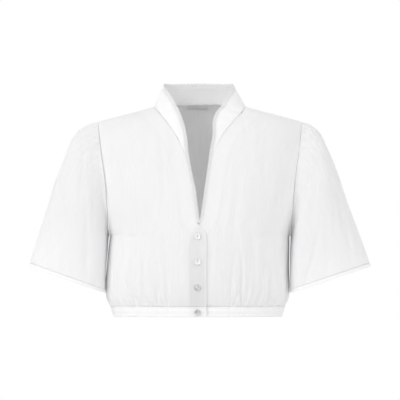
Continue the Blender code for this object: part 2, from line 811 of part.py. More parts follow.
def main():
    """Makes the blouse, piece by piece."""
    clear_scene()
    right = front_panel(-1)
    left = front_panel(1)
    back = back_panel()
    shares = front_shares()
    casing_wall("casing_right", -1, shares, -1, FLAT_COLUMNS, FRONT_GATHERS)
    casing_wall("casing_left", -1, shares, 1, FLAT_COLUMNS, FRONT_GATHERS)
    casing_wall("casing_back", 1, back_shares(), 0, 0, BACK_GATHERS)
    sleeve(-1)
    sleeve(1)
    collar_and_lace(right, left, back)
    for number, z in enumerate(BUTTON_HEIGHTS, start=1):
        button(number, z)
    neck_label(back)


main()
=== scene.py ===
"""Dirndl blouse in white cotton batiste: its cloth, lace, stitching, buttons and label.

Sizes are in millimetres and become metres as each mesh is made. X runs to the garment's
own left, Y to the back and Z up. Every cloth piece is a grid of points on the blouse's
form, pressed in along its normals by gathers and folds, and given its thickness inwards.
"""

import math

import bmesh
import bpy
import numpy as np
from mathutils import Matrix, Vector


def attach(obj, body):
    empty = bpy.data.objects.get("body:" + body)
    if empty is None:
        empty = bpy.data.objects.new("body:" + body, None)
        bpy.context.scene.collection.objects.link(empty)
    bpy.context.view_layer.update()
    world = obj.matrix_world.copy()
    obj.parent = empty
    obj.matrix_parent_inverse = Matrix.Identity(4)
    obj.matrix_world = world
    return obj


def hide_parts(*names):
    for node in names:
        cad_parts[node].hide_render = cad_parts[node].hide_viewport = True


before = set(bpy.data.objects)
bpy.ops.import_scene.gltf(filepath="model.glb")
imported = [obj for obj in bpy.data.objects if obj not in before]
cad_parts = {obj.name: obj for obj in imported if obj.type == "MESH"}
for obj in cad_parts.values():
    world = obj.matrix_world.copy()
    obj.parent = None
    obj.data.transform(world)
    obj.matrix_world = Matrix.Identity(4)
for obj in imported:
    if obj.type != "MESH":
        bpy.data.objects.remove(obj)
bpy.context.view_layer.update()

MM = 0.001

# Cloth and the gaps between neighbouring pieces
BATISTE = 0.5
DOUBLED = 0.9
SEAM_GAP = 0.3
NEAR = 0.08
LAP_DEPTH = 1.9
LAP_RISE = 16.0

# Heights and half widths of the form
HEM_Z = -367.0
CASING_TALL = 18.0
BUST_Z = -245.0
BLADE_Z = -165.0
UNDERARM_Z = -225.0
TIP_Z = -26.0
NECK_X = 80.0
TIP_X = 179.0
TIP_Y = 8.0
RIDGE_RISE = 13.0
HEM_SWAY = -4.0
SWAY_START_Z = -205.0
SWAY_END_Z = -300.0
SQUARENESS = 2.25
FRONT_ROUND = (1.7, 2.45)
BACK_ROUND = (3.6, 2.4)
BACK_NECK_LIFT = math.radians(67.0)

# Body sections: height, half width, depth to the front, depth to the back
SECTIONS = (
    (-367.0, 147.3, 100.0, 96.0),
    (-349.0, 152.6, 104.0, 99.0),
    (-335.0, 159.0, 110.0, 102.0),
    (-318.0, 161.2, 115.0, 104.0),
    (-290.0, 160.3, 120.0, 104.0),
    (-245.0, 158.2, 124.0, 103.0),
    (-225.0, 157.2, 124.0, 103.0),
    (-165.0, 163.0, 124.0, 106.0),
)

# Armhole: angle from the shoulder, half width, turn of the front row, turn of the back row
ARMHOLE = (
    (0.0, 179.0, 69.0, 69.0),
    (30.0, 177.0, 68.0, 68.0),
    (60.0, 173.0, 66.0, 66.5),
    (90.0, 166.5, 65.0, 66.0),
    (120.0, 162.5, 70.5, 70.5),
    (150.0, 159.5, 80.5, 80.5),
    (180.0, 157.2, 90.0, 90.0),
)
ARMHOLE_ANGLES = (0, 10, 20, 30, 42, 54, 66, 80, 95, 110, 120, 130, 143, 160, 180)
COLLAR_ANGLE = 66.0

# Front edges: height, distance of the edge from the centre line
EDGE_RIGHT = (
    (-367.0, -15.5),
    (-300.0, -15.5),
    (-235.0, -13.0),
    (-222.0, -11.0),
    (-215.0, -6.5),
    (-209.0, 0.0),
    (-203.0, 5.0),
    (-196.0, 7.5),
    (-163.0, 11.5),
    (-145.0, 13.5),
    (-101.0, 22.5),
    (-84.0, 26.0),
    (-64.0, 33.5),
    (-44.0, 45.0),
    (-25.0, 60.0),
    (-9.0, 73.5),
    (0.0, 80.0),
)
EDGE_LEFT = (
    (-367.0, -15.0),
    (-240.0, -17.5),
    (-225.0, -17.0),
    (-215.0, -10.0),
    (-203.0, 0.0),
    (-194.0, 6.5),
    (-163.0, 11.5),
    (-145.0, 13.8),
    (-101.0, 20.2),
    (-84.0, 22.5),
    (-64.0, 30.5),
    (-44.0, 43.0),
    (-25.0, 59.0),
    (-9.0, 73.5),
    (0.0, 80.0),
)

# Sleeve rings: right outer x, z, left outer x, z, inner x, z, depth front, back, forward
SLEEVE_RINGS = (
    (179.0, -26.0, 179.0, -26.0, 157.2, -225.0, 46.0, 45.0, 0.0),
    (190.5, -28.5, 190.0, -29.5, 159.0, -226.0, 48.0, 47.0, 0.0),
    (204.0, -35.5, 203.0, -38.0, 159.3, -233.0, 52.0, 50.0, 2.0),
    (217.0, -46.5, 213.5, -51.5, 159.4, -243.0, 55.0, 52.0, 6.0),
    (228.0, -65.0, 222.0, -70.0, 159.6, -256.0, 57.0, 54.0, 11.0),
    (240.0, -95.0, 233.5, -97.0, 160.2, -270.0, 58.5, 56.0, 15.0),
    (253.5, -131.0, 246.0, -131.0, 160.6, -285.0, 59.0, 57.0, 18.0),
    (268.0, -180.0, 263.0, -180.0, 160.9, -299.0, 58.5, 57.0, 20.0),
    (284.0, -231.0, 282.0, -231.0, 161.2, -311.0, 57.5, 56.0, 21.0),
    (297.2, -272.6, 296.8, -272.3, 161.5, -319.0, 56.5, 55.5, 22.0),
    (299.0, -278.3, 299.0, -278.3, 161.6, -325.0, 56.0, 55.0, 22.0),
)
SLEEVE_FINE_RINGS = 5

# Collar: station, top edge x, y and z, and the left side's shift in x
COLLAR_EDGE = (
    (0.0, 26.0, -89.0, -84.0, 0.0),
    (1.0, 29.5, -76.0, -50.0, -1.5),
    (2.0, 35.0, -65.0, -27.0, -6.5),
    (3.0, 41.0, -54.0, -10.0, -7.0),
    (4.0, 49.0, -40.0, 5.0, -3.0),
    (5.0, 58.5, -20.0, 20.0, -3.5),
    (6.0, 65.5, 3.0, 30.0, -4.5),
    (9.0, 45.0, 43.0, 34.0, -2.0),
    (12.0, 0.0, 56.0, 35.5, 0.0),
)
COLLAR_STATIONS = 12.0
COLLAR_BULGE = 1.6
COLLAR_END = 1.0

# Gathers over the casing, used in turn: gap to the next, lean, reach, half width, depth
GATHERS = (
    (6.4, 2.0, 34.0, 1.9, 1.5),
    (5.2, -1.0, 58.0, 1.7, 1.9),
    (7.3, 3.0, 92.0, 2.4, 2.3),
    (5.0, 1.0, 26.0, 1.5, 1.2),
    (6.8, -3.0, 64.0, 2.0, 2.0),
    (5.6, 0.0, 40.0, 1.6, 1.6),
    (7.9, 4.0, 78.0, 2.6, 2.4),
    (4.8, 2.0, 22.0, 1.4, 1.1),
    (6.1, -2.0, 50.0, 1.9, 1.8),
    (7.0, 1.0, 104.0, 2.5, 2.1),
    (5.3, 3.0, 30.0, 1.6, 1.3),
    (6.6, 0.0, 70.0, 2.1, 2.0),
    (5.9, -2.0, 44.0, 1.8, 1.7),
    (8.2, 2.0, 86.0, 2.7, 2.3),
    (5.1, 1.0, 28.0, 1.5, 1.2),
    (6.3, 3.0, 54.0, 1.9, 1.8),
    (7.4, -1.0, 66.0, 2.2, 2.1),
)
GATHER_FADE = 1.4
CASING_SHARE = 0.42
FLAT_BY_EDGE = (62.0, 78.0)

# Folds seen from the front: bottom x, z, top x, z, bow, half width, depth (below 0 a ridge)
FRONT_FOLDS = (
    (-64.0, -138.0, -70.0, -44.0, 0.0, 4.5, 1.1),
    (-69.0, -208.0, -65.0, -126.0, 2.0, 7.0, 1.6),
    (-56.0, -352.0, -68.0, -205.0, 3.0, 5.0, 2.6),
    (-138.0, -278.0, -141.0, -186.0, 2.0, 12.0, 3.6),
    (-164.5, -160.0, -174.0, -86.0, 0.0, 3.5, 1.5),
    (-151.0, -176.0, -163.0, -112.0, 0.0, 4.0, 1.0),
    (-120.0, -196.0, -122.0, -104.0, 2.0, 7.0, -1.1),
    (-41.0, -240.0, -44.0, -140.0, 0.0, 9.0, -1.1),
    (-113.0, -350.0, -121.0, -262.0, 2.0, 4.5, 1.6),
    (-93.0, -350.0, -99.0, -250.0, -2.0, 4.0, 1.4),
    (-104.0, -335.0, -108.0, -236.0, 0.0, 5.0, -1.0),
    (-75.0, -350.0, -83.0, -280.0, 0.0, 3.5, 1.5),
    (-113.0, -112.0, -119.0, -36.0, 0.0, 5.0, 0.7),
    (-92.0, -132.0, -96.0, -42.0, 0.0, 5.0, 0.6),
    (-130.0, -140.0, -137.0, -52.0, 2.0, 5.0, 0.7),
    (-88.0, -262.0, -92.0, -160.0, -3.0, 7.0, 0.9),
    (-30.0, -330.0, -34.0, -250.0, 0.0, 6.0, 0.8),
    (80.0, -46.0, 71.0, 4.0, 0.0, 4.5, 1.5),
    (60.0, -196.0, 67.0, -104.0, 2.0, 6.5, 1.9),
    (61.0, -240.0, 60.0, -184.0, 0.0, 6.0, 1.3),
    (72.0, -354.0, 73.0, -262.0, 0.0, 2.8, 2.9),
    (53.0, -350.0, 61.0, -256.0, -1.0, 3.2, 1.9),
    (73.0, -282.0, 66.0, -220.0, 0.0, 5.0, 1.3),
    (132.0, -216.0, 145.0, -120.0, 3.0, 4.5, 2.1),
    (139.0, -210.0, 159.0, -124.0, 3.0, 3.5, 1.7),
    (143.0, -266.0, 153.0, -182.0, 0.0, 4.5, 1.8),
    (94.0, -106.0, 97.0, -28.0, 0.0, 6.0, -0.9),
    (118.0, -196.0, 131.0, -118.0, 2.0, 6.5, -1.3),
    (106.0, -246.0, 104.0, -198.0, 0.0, 8.0, -1.4),
    (50.0, -330.0, 27.0, -276.0, 0.0, 6.0, -1.3),
    (40.0, -345.0, 20.0, -292.0, 0.0, 5.0, 1.2),
    (99.0, -350.0, 113.0, -250.0, 2.0, 4.0, 1.6),
    (117.0, -350.0, 129.0, -264.0, 0.0, 4.5, 1.5),
    (98.0, -284.0, 89.0, -210.0, 0.0, 5.0, 1.2),
    (110.0, -120.0, 116.0, -40.0, 0.0, 5.0, 0.8),
    (38.0, -226.0, 41.0, -140.0, 0.0, 6.0, 0.9),
)
BACK_FOLDS = (
    (-118.0, -352.0, -104.0, -220.0, -3.0, 5.0, 2.2),
    (-84.0, -350.0, -78.0, -190.0, 2.0, 6.0, 2.0),
    (-46.0, -352.0, -50.0, -236.0, 2.0, 4.5, 1.8),
    (-12.0, -350.0, -8.0, -200.0, -2.0, 6.0, 1.6),
    (31.0, -352.0, 26.0, -244.0, 0.0, 4.0, 2.1),
    (68.0, -350.0, 74.0, -180.0, -3.0, 6.0, 2.3),
    (104.0, -350.0, 96.0, -232.0, 2.0, 4.5, 1.8),
    (126.0, -346.0, 132.0, -206.0, 2.0, 7.0, 2.4),
    (-140.0, -200.0, -156.0, -112.0, 3.0, 4.5, 1.9),
    (-128.0, -190.0, -146.0, -96.0, 2.0, 4.0, 1.3),
    (141.0, -206.0, 157.0, -118.0, -3.0, 4.5, 1.8),
    (124.0, -180.0, 142.0, -90.0, 0.0, 5.0, 1.2),
    (-60.0, -150.0, -66.0, -50.0, 0.0, 7.0, 0.9),
    (52.0, -160.0, 60.0, -56.0, 0.0, 7.0, 0.9),
    (-100.0, -130.0, -96.0, -44.0, 0.0, 6.0, -0.9),
    (12.0, -140.0, 16.0, -40.0, 0.0, 9.0, -0.9),
)
SLEEVE_FOLDS_FRONT = (
    (-222.0, -196.0, -222.0, -94.0, -2.0, 7.0, -1.8),
    (-211.0, -158.0, -203.0, -58.0, 2.0, 5.0, 1.5),
    (-252.0, -250.0, -238.0, -150.0, 0.0, 7.0, 1.4),
    (-188.0, -306.0, -184.0, -228.0, 0.0, 6.0, -1.6),
    (-202.0, -296.0, -197.0, -190.0, 2.0, 6.0, 1.7),
    (-233.0, -278.0, -226.0, -206.0, 0.0, 6.0, 1.1),
    (-272.0, -268.0, -262.0, -206.0, 0.0, 5.0, 1.0),
    (-184.0, -180.0, -186.0, -92.0, 0.0, 4.0, 1.2),
    (227.0, -184.0, 220.0, -122.0, 0.0, 7.0, -1.9),
    (199.0, -168.0, 204.0, -98.0, 0.0, 4.5, 1.6),
    (197.0, -116.0, 192.0, -70.0, 0.0, 4.0, -1.3),
    (251.0, -216.0, 237.0, -142.0, 2.0, 3.5, 2.0),
    (182.0, -308.0, 207.0, -200.0, 5.0, 5.5, 2.0),
    (262.0, -246.0, 255.0, -204.0, 0.0, 4.5, 1.3),
    (176.0, -300.0, 173.0, -230.0, 0.0, 5.0, -1.3),
    (177.0, -172.0, 191.0, -106.0, 2.0, 3.5, 1.6),
    (224.0, -280.0, 222.0, -214.0, 0.0, 6.0, 1.2),
    (243.0, -278.0, 238.0, -226.0, 0.0, 6.0, -1.1),
    (282.0, -268.0, 272.0, -226.0, 0.0, 4.0, 1.1),
)
SLEEVE_FOLDS_BACK = (
    (-218.0, -200.0, -208.0, -70.0, 2.0, 6.0, 1.9),
    (-244.0, -262.0, -232.0, -140.0, -2.0, 6.0, 1.8),
    (-196.0, -300.0, -190.0, -190.0, 0.0, 6.0, 1.9),
    (-266.0, -262.0, -254.0, -200.0, 0.0, 5.0, -1.3),
    (-188.0, -178.0, -192.0, -84.0, 0.0, 4.5, 1.3),
    (214.0, -190.0, 206.0, -76.0, -2.0, 6.0, 1.8),
    (240.0, -256.0, 226.0, -140.0, 2.0, 6.0, 1.9),
    (190.0, -302.0, 204.0, -196.0, 3.0, 6.0, 1.8),
    (268.0, -264.0, 258.0, -196.0, 0.0, 5.0, -1.4),
    (182.0, -180.0, 188.0, -90.0, 0.0, 4.5, 1.3),
)

# Gathers of the sleeve cap: angle from the shoulder, reach down the sleeve, half width, depth
CAP_GATHERS = (
    (-104.0, 30.0, 3.5, 0.9),
    (-84.0, 38.0, 3.5, 1.3),
    (-67.0, 54.0, 3.0, 1.6),
    (-54.0, 44.0, 2.8, 1.7),
    (-42.0, 60.0, 2.8, 1.9),
    (-31.0, 46.0, 2.5, 1.7),
    (-21.0, 62.0, 2.6, 2.0),
    (-12.0, 40.0, 2.3, 1.6),
    (-4.0, 56.0, 2.5, 1.8),
    (5.0, 44.0, 2.3, 1.7),
    (14.0, 66.0, 2.6, 2.1),
    (23.0, 42.0, 2.4, 1.7),
    (33.0, 70.0, 2.8, 2.0),
    (43.0, 48.0, 2.6, 1.8),
    (54.0, 62.0, 3.0, 1.8),
    (66.0, 44.0, 3.0, 1.6),
    (80.0, 40.0, 3.5, 1.3),
    (98.0, 30.0, 3.5, 0.9),
)

# Small puckers along the V edge: height, half width, reach into the front, depth
EDGE_PUCKERS = (
    (-192.0, 3.2, 11.0, 0.5),
    (-181.0, 2.6, 15.0, 0.7),
    (-170.0, 3.4, 12.0, 0.6),
    (-157.0, 2.8, 18.0, 0.8),
    (-146.0, 3.0, 13.0, 0.6),
    (-135.0, 2.6, 20.0, 0.9),
    (-123.0, 3.4, 15.0, 0.7),
    (-112.0, 2.8, 22.0, 0.9),
    (-100.0, 3.2, 16.0, 0.8),
    (-88.0, 3.0, 22.0, 1.0),
)

# Puckers of the collar: station from 0 at the right V to 24 at the left V, lean, half width, depth
COLLAR_PUCKERS = (
    (0.7, 0.3, 0.16, 0.8),
    (1.4, 0.5, 0.2, 1.1),
    (2.2, 0.4, 0.18, 1.0),
    (3.2, 0.3, 0.22, 1.2),
    (4.5, 0.2, 0.25, 0.8),
    (8.2, 0.1, 0.4, 0.6),
    (11.0, -0.1, 0.4, 0.6),
    (14.5, 0.1, 0.4, 0.6),
    (19.4, -0.3, 0.25, 0.8),
    (20.7, -0.4, 0.22, 1.2),
    (21.6, -0.4, 0.2, 1.0),
    (22.4, -0.5, 0.2, 1.2),
    (23.3, -0.3, 0.16, 0.8),
)

# Lace edging
LACE_WIDE = 7.0
LACE_END_Z = -204.0
LACE_PITCH = 6.2
LACE_THREAD = 0.34

# Buttons: heights from the top one down, and their turned profile
BUTTON_X = -4.4
BUTTON_HEIGHTS = (-226.0, -270.0, -315.0, -358.5)
BUTTON_PROFILE = (
    (0.0, 0.0),
    (4.6, 0.0),
    (5.3, 0.25),
    (5.68, 0.9),
    (5.66, 1.6),
    (5.4, 2.15),
    (5.0, 2.4),
    (4.5, 2.32),
    (4.1, 1.95),
    (3.7, 1.65),
    (3.0, 1.52),
    (0.0, 1.5),
)
BUTTON_HOLE = 0.9
BUTTON_HOLE_APART = 2.6
BUTTON_LIFT = 0.5

# Label inside the back of the neck
LABEL_X = -4.0
LABEL_WIDE = 36.0
LABEL_TALL = 11.0

# Stitches: pitch, length, thickness
STITCH = (2.6, 1.9, 0.3)


def smooth_value(table, column, at):
    """A column of a table at values of its first column, on a cubic Hermite curve."""
    rows = np.array(table, float)
    keys = rows[:, 0]
    values = rows[:, column]
    slopes = np.gradient(values, keys)
    at = np.clip(np.asarray(at, float), keys[0], keys[-1])
    low = np.clip(np.searchsorted(keys, at, side="right") - 1, 0, len(keys) - 2)
    step = keys[low + 1] - keys[low]
    t = (at - keys[low]) / step
    start = (1 + 2 * t) * (1 - t) ** 2 * values[low] + t * (1 - t) ** 2 * step * slopes[low]
    end = t * t * (3 - 2 * t) * values[low + 1] - t * t * (1 - t) * step * slopes[low + 1]
    return start + end


def smooth_step(start, end, at):
    """0 before start, 1 after end, and 3t^2 - 2t^3 between them."""
    t = np.clip((at - start) / (end - start), 0.0, 1.0)
    return t * t * (3 - 2 * t)


def unit(vectors):
    """The vectors of an array divided by their lengths."""
    return vectors / np.maximum(np.linalg.norm(vectors, axis=-1, keepdims=True), 1e-9)


def ridge_z(x):
    """Shoulder line: a straight slope to the tip, and a parabola between the neck ends."""
    x = np.abs(x)
    slope = TIP_Z / (TIP_X - NECK_X)
    return np.where(x < NECK_X, RIDGE_RISE * (1 - (x / NECK_X) ** 2), slope * (x - NECK_X))


def ridge_y(x):
    """Depth of the shoulder line: 0 to the neck end, then a straight run to the tip."""
    return TIP_Y * np.clip((np.abs(x) - NECK_X) / (TIP_X - NECK_X), 0.0, 1.0)


def roundness(x, face):
    """Exponent of the upright curve: its neck value eased to its armhole value by 150 mm."""
    neck, armhole = FRONT_ROUND if face < 0 else BACK_ROUND
    return neck + (armhole - neck) * smooth_step(0.0, 150.0, np.abs(x))


class Rows:
    """Rows of the body form as column arrays, each named by where it ends at the side."""

    def __init__(self, face, edge_z, edge_x, turn):
        edge_z, edge_x, turn = (np.asarray(v, float)[:, None] for v in (edge_z, edge_x, turn))
        self.face = face
        self.base = np.minimum(edge_z, BUST_Z if face < 0 else BLADE_Z)
        self.depth = smooth_value(SECTIONS, 2 if face < 0 else 3, self.base)
        self.turn = turn
        self.half = edge_x / np.sin(turn) ** (2 / SQUARENESS)
        share = (edge_z - self.base) / (ridge_z(edge_x) - self.base)
        self.lift = np.arcsin(np.clip(share, 0.0, 1.0) ** (roundness(edge_x, face) / 2))

    def angle_at(self, x):
        """Angle along each row where it reaches x: the superellipse solved for its angle."""
        share = np.clip(np.abs(x) / self.half, 0.0, 1.0)
        return np.sign(x) * np.arcsin(share ** (SQUARENESS / 2))

    def point(self, angle, lift=None):
        """x and depth go by a superellipse in the angle, height and depth by one in the lift."""
        lift = self.lift if lift is None else lift
        x = np.sign(angle) * self.half * np.abs(np.sin(angle)) ** (2 / SQUARENESS)
        plan = np.abs(np.cos(angle)) ** (2 / SQUARENESS)
        power = 2 / roundness(x, self.face)
        rise = np.sin(lift) ** power
        z = self.base + (ridge_z(x) - self.base) * rise
        y = ridge_y(x) * rise + self.face * self.depth * plan * np.cos(lift) ** power
        return np.stack([x, y, z], axis=-1)


def level_rows(face, heights):
    """Level rows of the body at heights below the armhole."""
    heights = np.asarray(heights, float)
    turn = np.full(len(heights), math.pi / 2)
    return Rows(face, heights, smooth_value(SECTIONS, 1, heights), turn)


def panel_rows(face, low, high):
    """Level rows up to the armhole, then rows that end round it up to the shoulder seam."""
    z = np.linspace(HEM_Z + CASING_TALL + SEAM_GAP, UNDERARM_Z, low, endpoint=False)
    angle = 180.0 * (1 - np.linspace(0.0, 1.0, high) ** 0.6)
    middle = (TIP_Z + UNDERARM_Z) / 2
    edge_z = np.concatenate([z, middle + (TIP_Z - middle) * np.cos(np.radians(angle))])
    edge_x = np.concatenate([smooth_value(SECTIONS, 1, z), smooth_value(ARMHOLE, 1, angle)])
    turn = smooth_value(ARMHOLE, 2 if face < 0 else 3, angle)
    turn = np.radians(np.concatenate([np.full(low, 90.0), turn]))
    return Rows(face, edge_z, edge_x, turn)


def edge_angle(rows, edge):
    """Angle at which each row meets a front edge: x halved towards the edge, thirty times."""
    keys, values = np.array(edge).T
    x = np.full(rows.half.shape, 20.0)
    for _ in range(30):
        z = rows.point(rows.angle_at(x))[..., 2]
        x = 0.5 * (x + np.interp(z, keys, values))
    return rows.angle_at(x)


def neck_share():
    """Share of the top back row at which it reaches the neck end of the shoulder seam."""
    top = panel_rows(1, 1, 2)
    return float((top.angle_at(NECK_X) / top.turn)[-1, 0])


def back_lift(rows, share):
    """Lift of the back rows: it dips by a parabola towards the middle, under the neck."""
    neck = np.clip(np.abs(share) / neck_share(), 0.0, 1.0)
    top = math.pi / 2 - (math.pi / 2 - BACK_NECK_LIFT) * (1 - neck ** 2)
    return rows.lift * top / (math.pi / 2)


def sway(z):
    """Sideways shift of the body, eased in from the bust down to the waist."""
    return HEM_SWAY * smooth_step(SWAY_START_Z, SWAY_END_Z, z)


def placed(grid, side):
    """Points with x outwards turned to their side and shifted by the sway."""
    grid = grid * np.array([side, 1.0, 1.0])
    grid[..., 0] += sway(grid[..., 2])
    return grid


def outward(grid, closed=False):
    """Unit normals, from differences along rows and columns, turned away from the hollow."""
    up = np.gradient(grid, axis=0)
    if closed:
        along = (np.roll(grid, -1, axis=1) - np.roll(grid, 1, axis=1)) / 2
        away = grid - grid.mean(axis=1, keepdims=True)
    else:
        along = np.gradient(grid, axis=1)
        away = grid - np.array([0.0, 0.0, -200.0])
    facing = unit(np.cross(along, up))
    return facing * np.sign((facing * away).sum())


def run_along(grid):
    """Distance of each point from its row's first one, as the sum of the steps between."""
    steps = np.linalg.norm(np.diff(grid, axis=1), axis=-1)
    return np.concatenate([np.zeros((len(grid), 1)), np.cumsum(steps, axis=1)], axis=1)


def gather_rows(length, start, first):
    """Gathers from start to the end of a length: the table's rows in turn, laid gap by gap."""
    rows = []
    at = start
    number = first
    while at < length - 2.0:
        gap, lean, reach, half, depth = GATHERS[number % len(GATHERS)]
        rows.append((at, lean, reach, half, depth))
        at += gap
        number += 1
    return rows


def gather_press(grid, rows, share=None):
    """Depth of the gathers: each a bell curve across, fading up as exp(-(height/reach)^1.4)."""
    run = run_along(grid)
    scale = run[:, -1:] / run[0, -1]
    height = np.maximum(grid[..., 2] - (HEM_Z + CASING_TALL), 0.0)
    press = np.zeros(run.shape)
    for at, lean, reach, half, depth in rows:
        near = at * scale + lean * height / 20.0
        wide = half * (1 + height / 45.0)
        fade = np.exp(-((height / reach) ** GATHER_FADE)) if share is None else share
        if share is None:
            fade = fade * (CASING_SHARE + (1 - CASING_SHARE) * smooth_step(0.0, 5.0, height))
        press += depth * fade * np.exp(-(((run - near) / wide) ** 2))
    return press


def fold_press(grid, table):
    """Depth of the long folds: a bell curve across each bowed line, eased at both ends."""
    press = np.zeros(grid.shape[:2])
    for x0, z0, x1, z1, bow, half, depth in table:
        t = (grid[..., 2] - z0) / (z1 - z0)
        line = x0 + (x1 - x0) * t + bow * np.sin(math.pi * np.clip(t, 0.0, 1.0))
        fade = smooth_step(-0.18, 0.22, t) * smooth_step(1.18, 0.6, t)
        press += depth * fade * np.exp(-(((grid[..., 0] - line) / half) ** 2))
    return press


def uneven(grid, seed):
    """Slight unevenness: five slow sine waves, long down the cloth and short across it."""
    turns = np.random.default_rng(seed).uniform(0.0, 2 * math.pi, 5)
    across = np.arctan2(grid[..., 0], -grid[..., 1]) * 130.0
    down = grid[..., 2]
    waves = ((31.0, 210.0, 0.3), (17.0, 150.0, 0.22), (11.0, 120.0, 0.16), (7.3, 90.0, 0.12),
             (53.0, 95.0, 0.3))
    return sum(
        size * np.sin(across / wide * 2 + down / tall + turn)
        for (wide, tall, size), turn in zip(waves, turns)
    )


def seam_dip(shape, sides, depth=0.3):
    """Dip of the cloth into a seam, halved each column or row away from the named sides."""
    rows = np.arange(shape[0])[:, None] + np.zeros(shape)
    columns = np.arange(shape[1])[None, :] + np.zeros(shape)
    away = {
        "bottom": rows,
        "top": shape[0] - 1 - rows,
        "start": columns,
        "end": shape[1] - 1 - columns,
    }
    return sum(depth * 0.5 ** away[side] for side in sides)


def lap_inset(grid):
    """How far the left front lies in, where the right front laps over it."""
    keys, values = np.array(EDGE_RIGHT).T
    reach = -np.interp(grid[..., 2] - LAP_RISE, keys, values)
    under = smooth_step(reach + 15.0, reach + 3.0, grid[..., 0])
    return LAP_DEPTH * under * smooth_step(-172.0, -188.0, grid[..., 2])


def edge_puckers(grid, run):
    """Short creases in from the V edge: a bell curve in height, fading with the distance."""
    press = np.zeros(run.shape)
    for z, half, reach, depth in EDGE_PUCKERS:
        near = z + 0.35 * run
        press += depth * np.exp(-(((grid[..., 2] - near) / half) ** 2) - (run / reach) ** 2)
    return press


# Meshes


def mesh_piece(name, points, faces, uv=None, marks=None):
    """An object with its points in metres, its faces and, where given, one UV per corner."""
    mesh = bpy.data.meshes.new(name)
    points = np.asarray(points, float).reshape(-1, 3) * MM
    faces = np.asarray(faces, np.int32)
    mesh.vertices.add(len(points))
    mesh.vertices.foreach_set("co", points.astype(np.float32).ravel())
    mesh.loops.add(faces.size)
    mesh.loops.foreach_set("vertex_index", faces.ravel())
    mesh.polygons.add(len(faces))
    mesh.polygons.foreach_set("loop_start", np.arange(len(faces), dtype=np.int32) * faces.shape[1])
    mesh.polygons.foreach_set("use_smooth", np.ones(len(faces), bool))
    mesh.update(calc_edges=True)
    if uv is not None:
        layer = mesh.uv_layers.new(name="cloth")
        layer.data.foreach_set("uv", np.asarray(uv, np.float32).ravel())
    if marks is not None:
        layer = mesh.attributes.new("doubled", "FLOAT", "POINT")
        layer.data.foreach_set("value", np.asarray(marks, np.float32).ravel())
    mesh.validate()
    piece = bpy.data.objects.new(name, mesh)
    bpy.context.scene.collection.objects.link(piece)
    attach(piece, "root")
    return piece


def grid_faces(rows, columns, closed=False):
    """Quads of a grid, as the four corners of each cell; a closed one joins its ends."""
    across = columns if closed else columns - 1
    r, c = np.meshgrid(np.arange(rows - 1), np.arange(across), indexing="ij")
    d = (c + 1) % columns
    faces = np.stack([r * columns + c, r * columns + d, (r + 1) * columns + d,
                      (r + 1) * columns + c], axis=-1)
    return faces.reshape(-1, 4), r.ravel(), c.ravel()


def faces_out(grid, faces, facing):
    """The faces turned so that their normals agree with the given ones."""
    flat = grid.reshape(-1, 3)
    a, b, c = (flat[faces[:, k]] for k in (0, 1, 2))
    agree = (np.cross(b - a, c - a) * facing.reshape(-1, 3)[faces[:, 0]]).sum()
    return faces if agree > 0 else faces[:, ::-1]


def cloth(name, grid, stuff, replaced, closed=False, thick=BATISTE, doubled=None):
    """A cloth piece: quads on a grid, metre UVs from its lengths, and Solidify inwards."""
    rows, columns = grid.shape[:2]
    faces, r, c = grid_faces(rows, columns, closed)
    looped = np.concatenate([grid, grid[:, :1]], axis=1) if closed else grid
    u = run_along(looped).mean(axis=0) * MM
    v = run_along(np.swapaxes(grid, 0, 1)).mean(axis=0) * MM
    uv = np.stack([
        np.stack([u[c + du], v[r + dv]], axis=-1) for du, dv in ((0, 0), (1, 0), (1, 1), (0, 1))
    ], axis=1)
    facing = outward(grid, closed)
    turned = faces_out(grid, faces, facing)
    if turned is not faces:
        uv = uv[:, ::-1]
    marks = np.zeros((rows, columns)) if doubled is None else doubled
    piece = mesh_piece(name, grid, turned, uv, marks)
    piece.data.materials.append(stuff)
    wall = piece.modifiers.new("thickness", "SOLIDIFY")
    wall.thickness = thick * MM
    wall.offset = -1.0
    if replaced:
        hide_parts(replaced)
    return piece


def at_distance(path, values, distance):
    """Values at distances along a path, straight between its points."""
    run = np.concatenate([[0.0], np.cumsum(np.linalg.norm(np.diff(path, axis=0), axis=1))])
    return np.stack([np.interp(distance, run, values[:, k]) for k in range(3)], axis=-1)


def length_of(path):
    """Length of a path, as the sum of its steps."""
    return float(np.linalg.norm(np.diff(path, axis=0), axis=1).sum())


def tubes(lines, facing, radius, sides, ends=True):
    """Threads along many lines at once: rings of points round each, on its own frame."""
    count, length = lines.shape[:2]
    run = unit(np.gradient(lines, axis=1))
    across = unit(np.cross(run, facing))
    up = np.cross(across, run)
    turn = np.linspace(0.0, 2 * math.pi, sides, endpoint=False)
    thick = np.full(length, radius) if np.isscalar(radius) else np.asarray(radius)
    ring = (np.cos(turn)[:, None] * across[:, :, None, :]
            + np.sin(turn)[:, None] * up[:, :, None, :])
    points = lines[:, :, None, :] + ring * thick[None, :, None, None]
    n, r, s = np.meshgrid(np.arange(count), np.arange(length - 1), np.arange(sides),
                          indexing="ij")
    base = (n * length + r) * sides
    t = (s + 1) % sides
    faces = np.stack([base + s, base + t, base + sides + t, base + sides + s], axis=-1)
    faces = faces.reshape(-1, 4)
    if ends:
        caps = np.arange(count)[:, None] * length * sides
        half = np.array([(0, k, k + 1, k + 2) for k in range(1, sides - 2, 2)])
        first = (caps[:, :, None] + half[None]).reshape(-1, 4)
        last = first[:, ::-1] + (length - 1) * sides
        faces = np.concatenate([faces, first, last])
    return points.reshape(-1, 3), faces


def joined(parts):
    """Several sets of points and faces as one."""
    points = []
    faces = []
    start = 0
    for part_points, part_faces in parts:
        points.append(part_points)
        faces.append(part_faces + start)
        start += len(part_points)
    return np.concatenate(points), np.concatenate(faces)


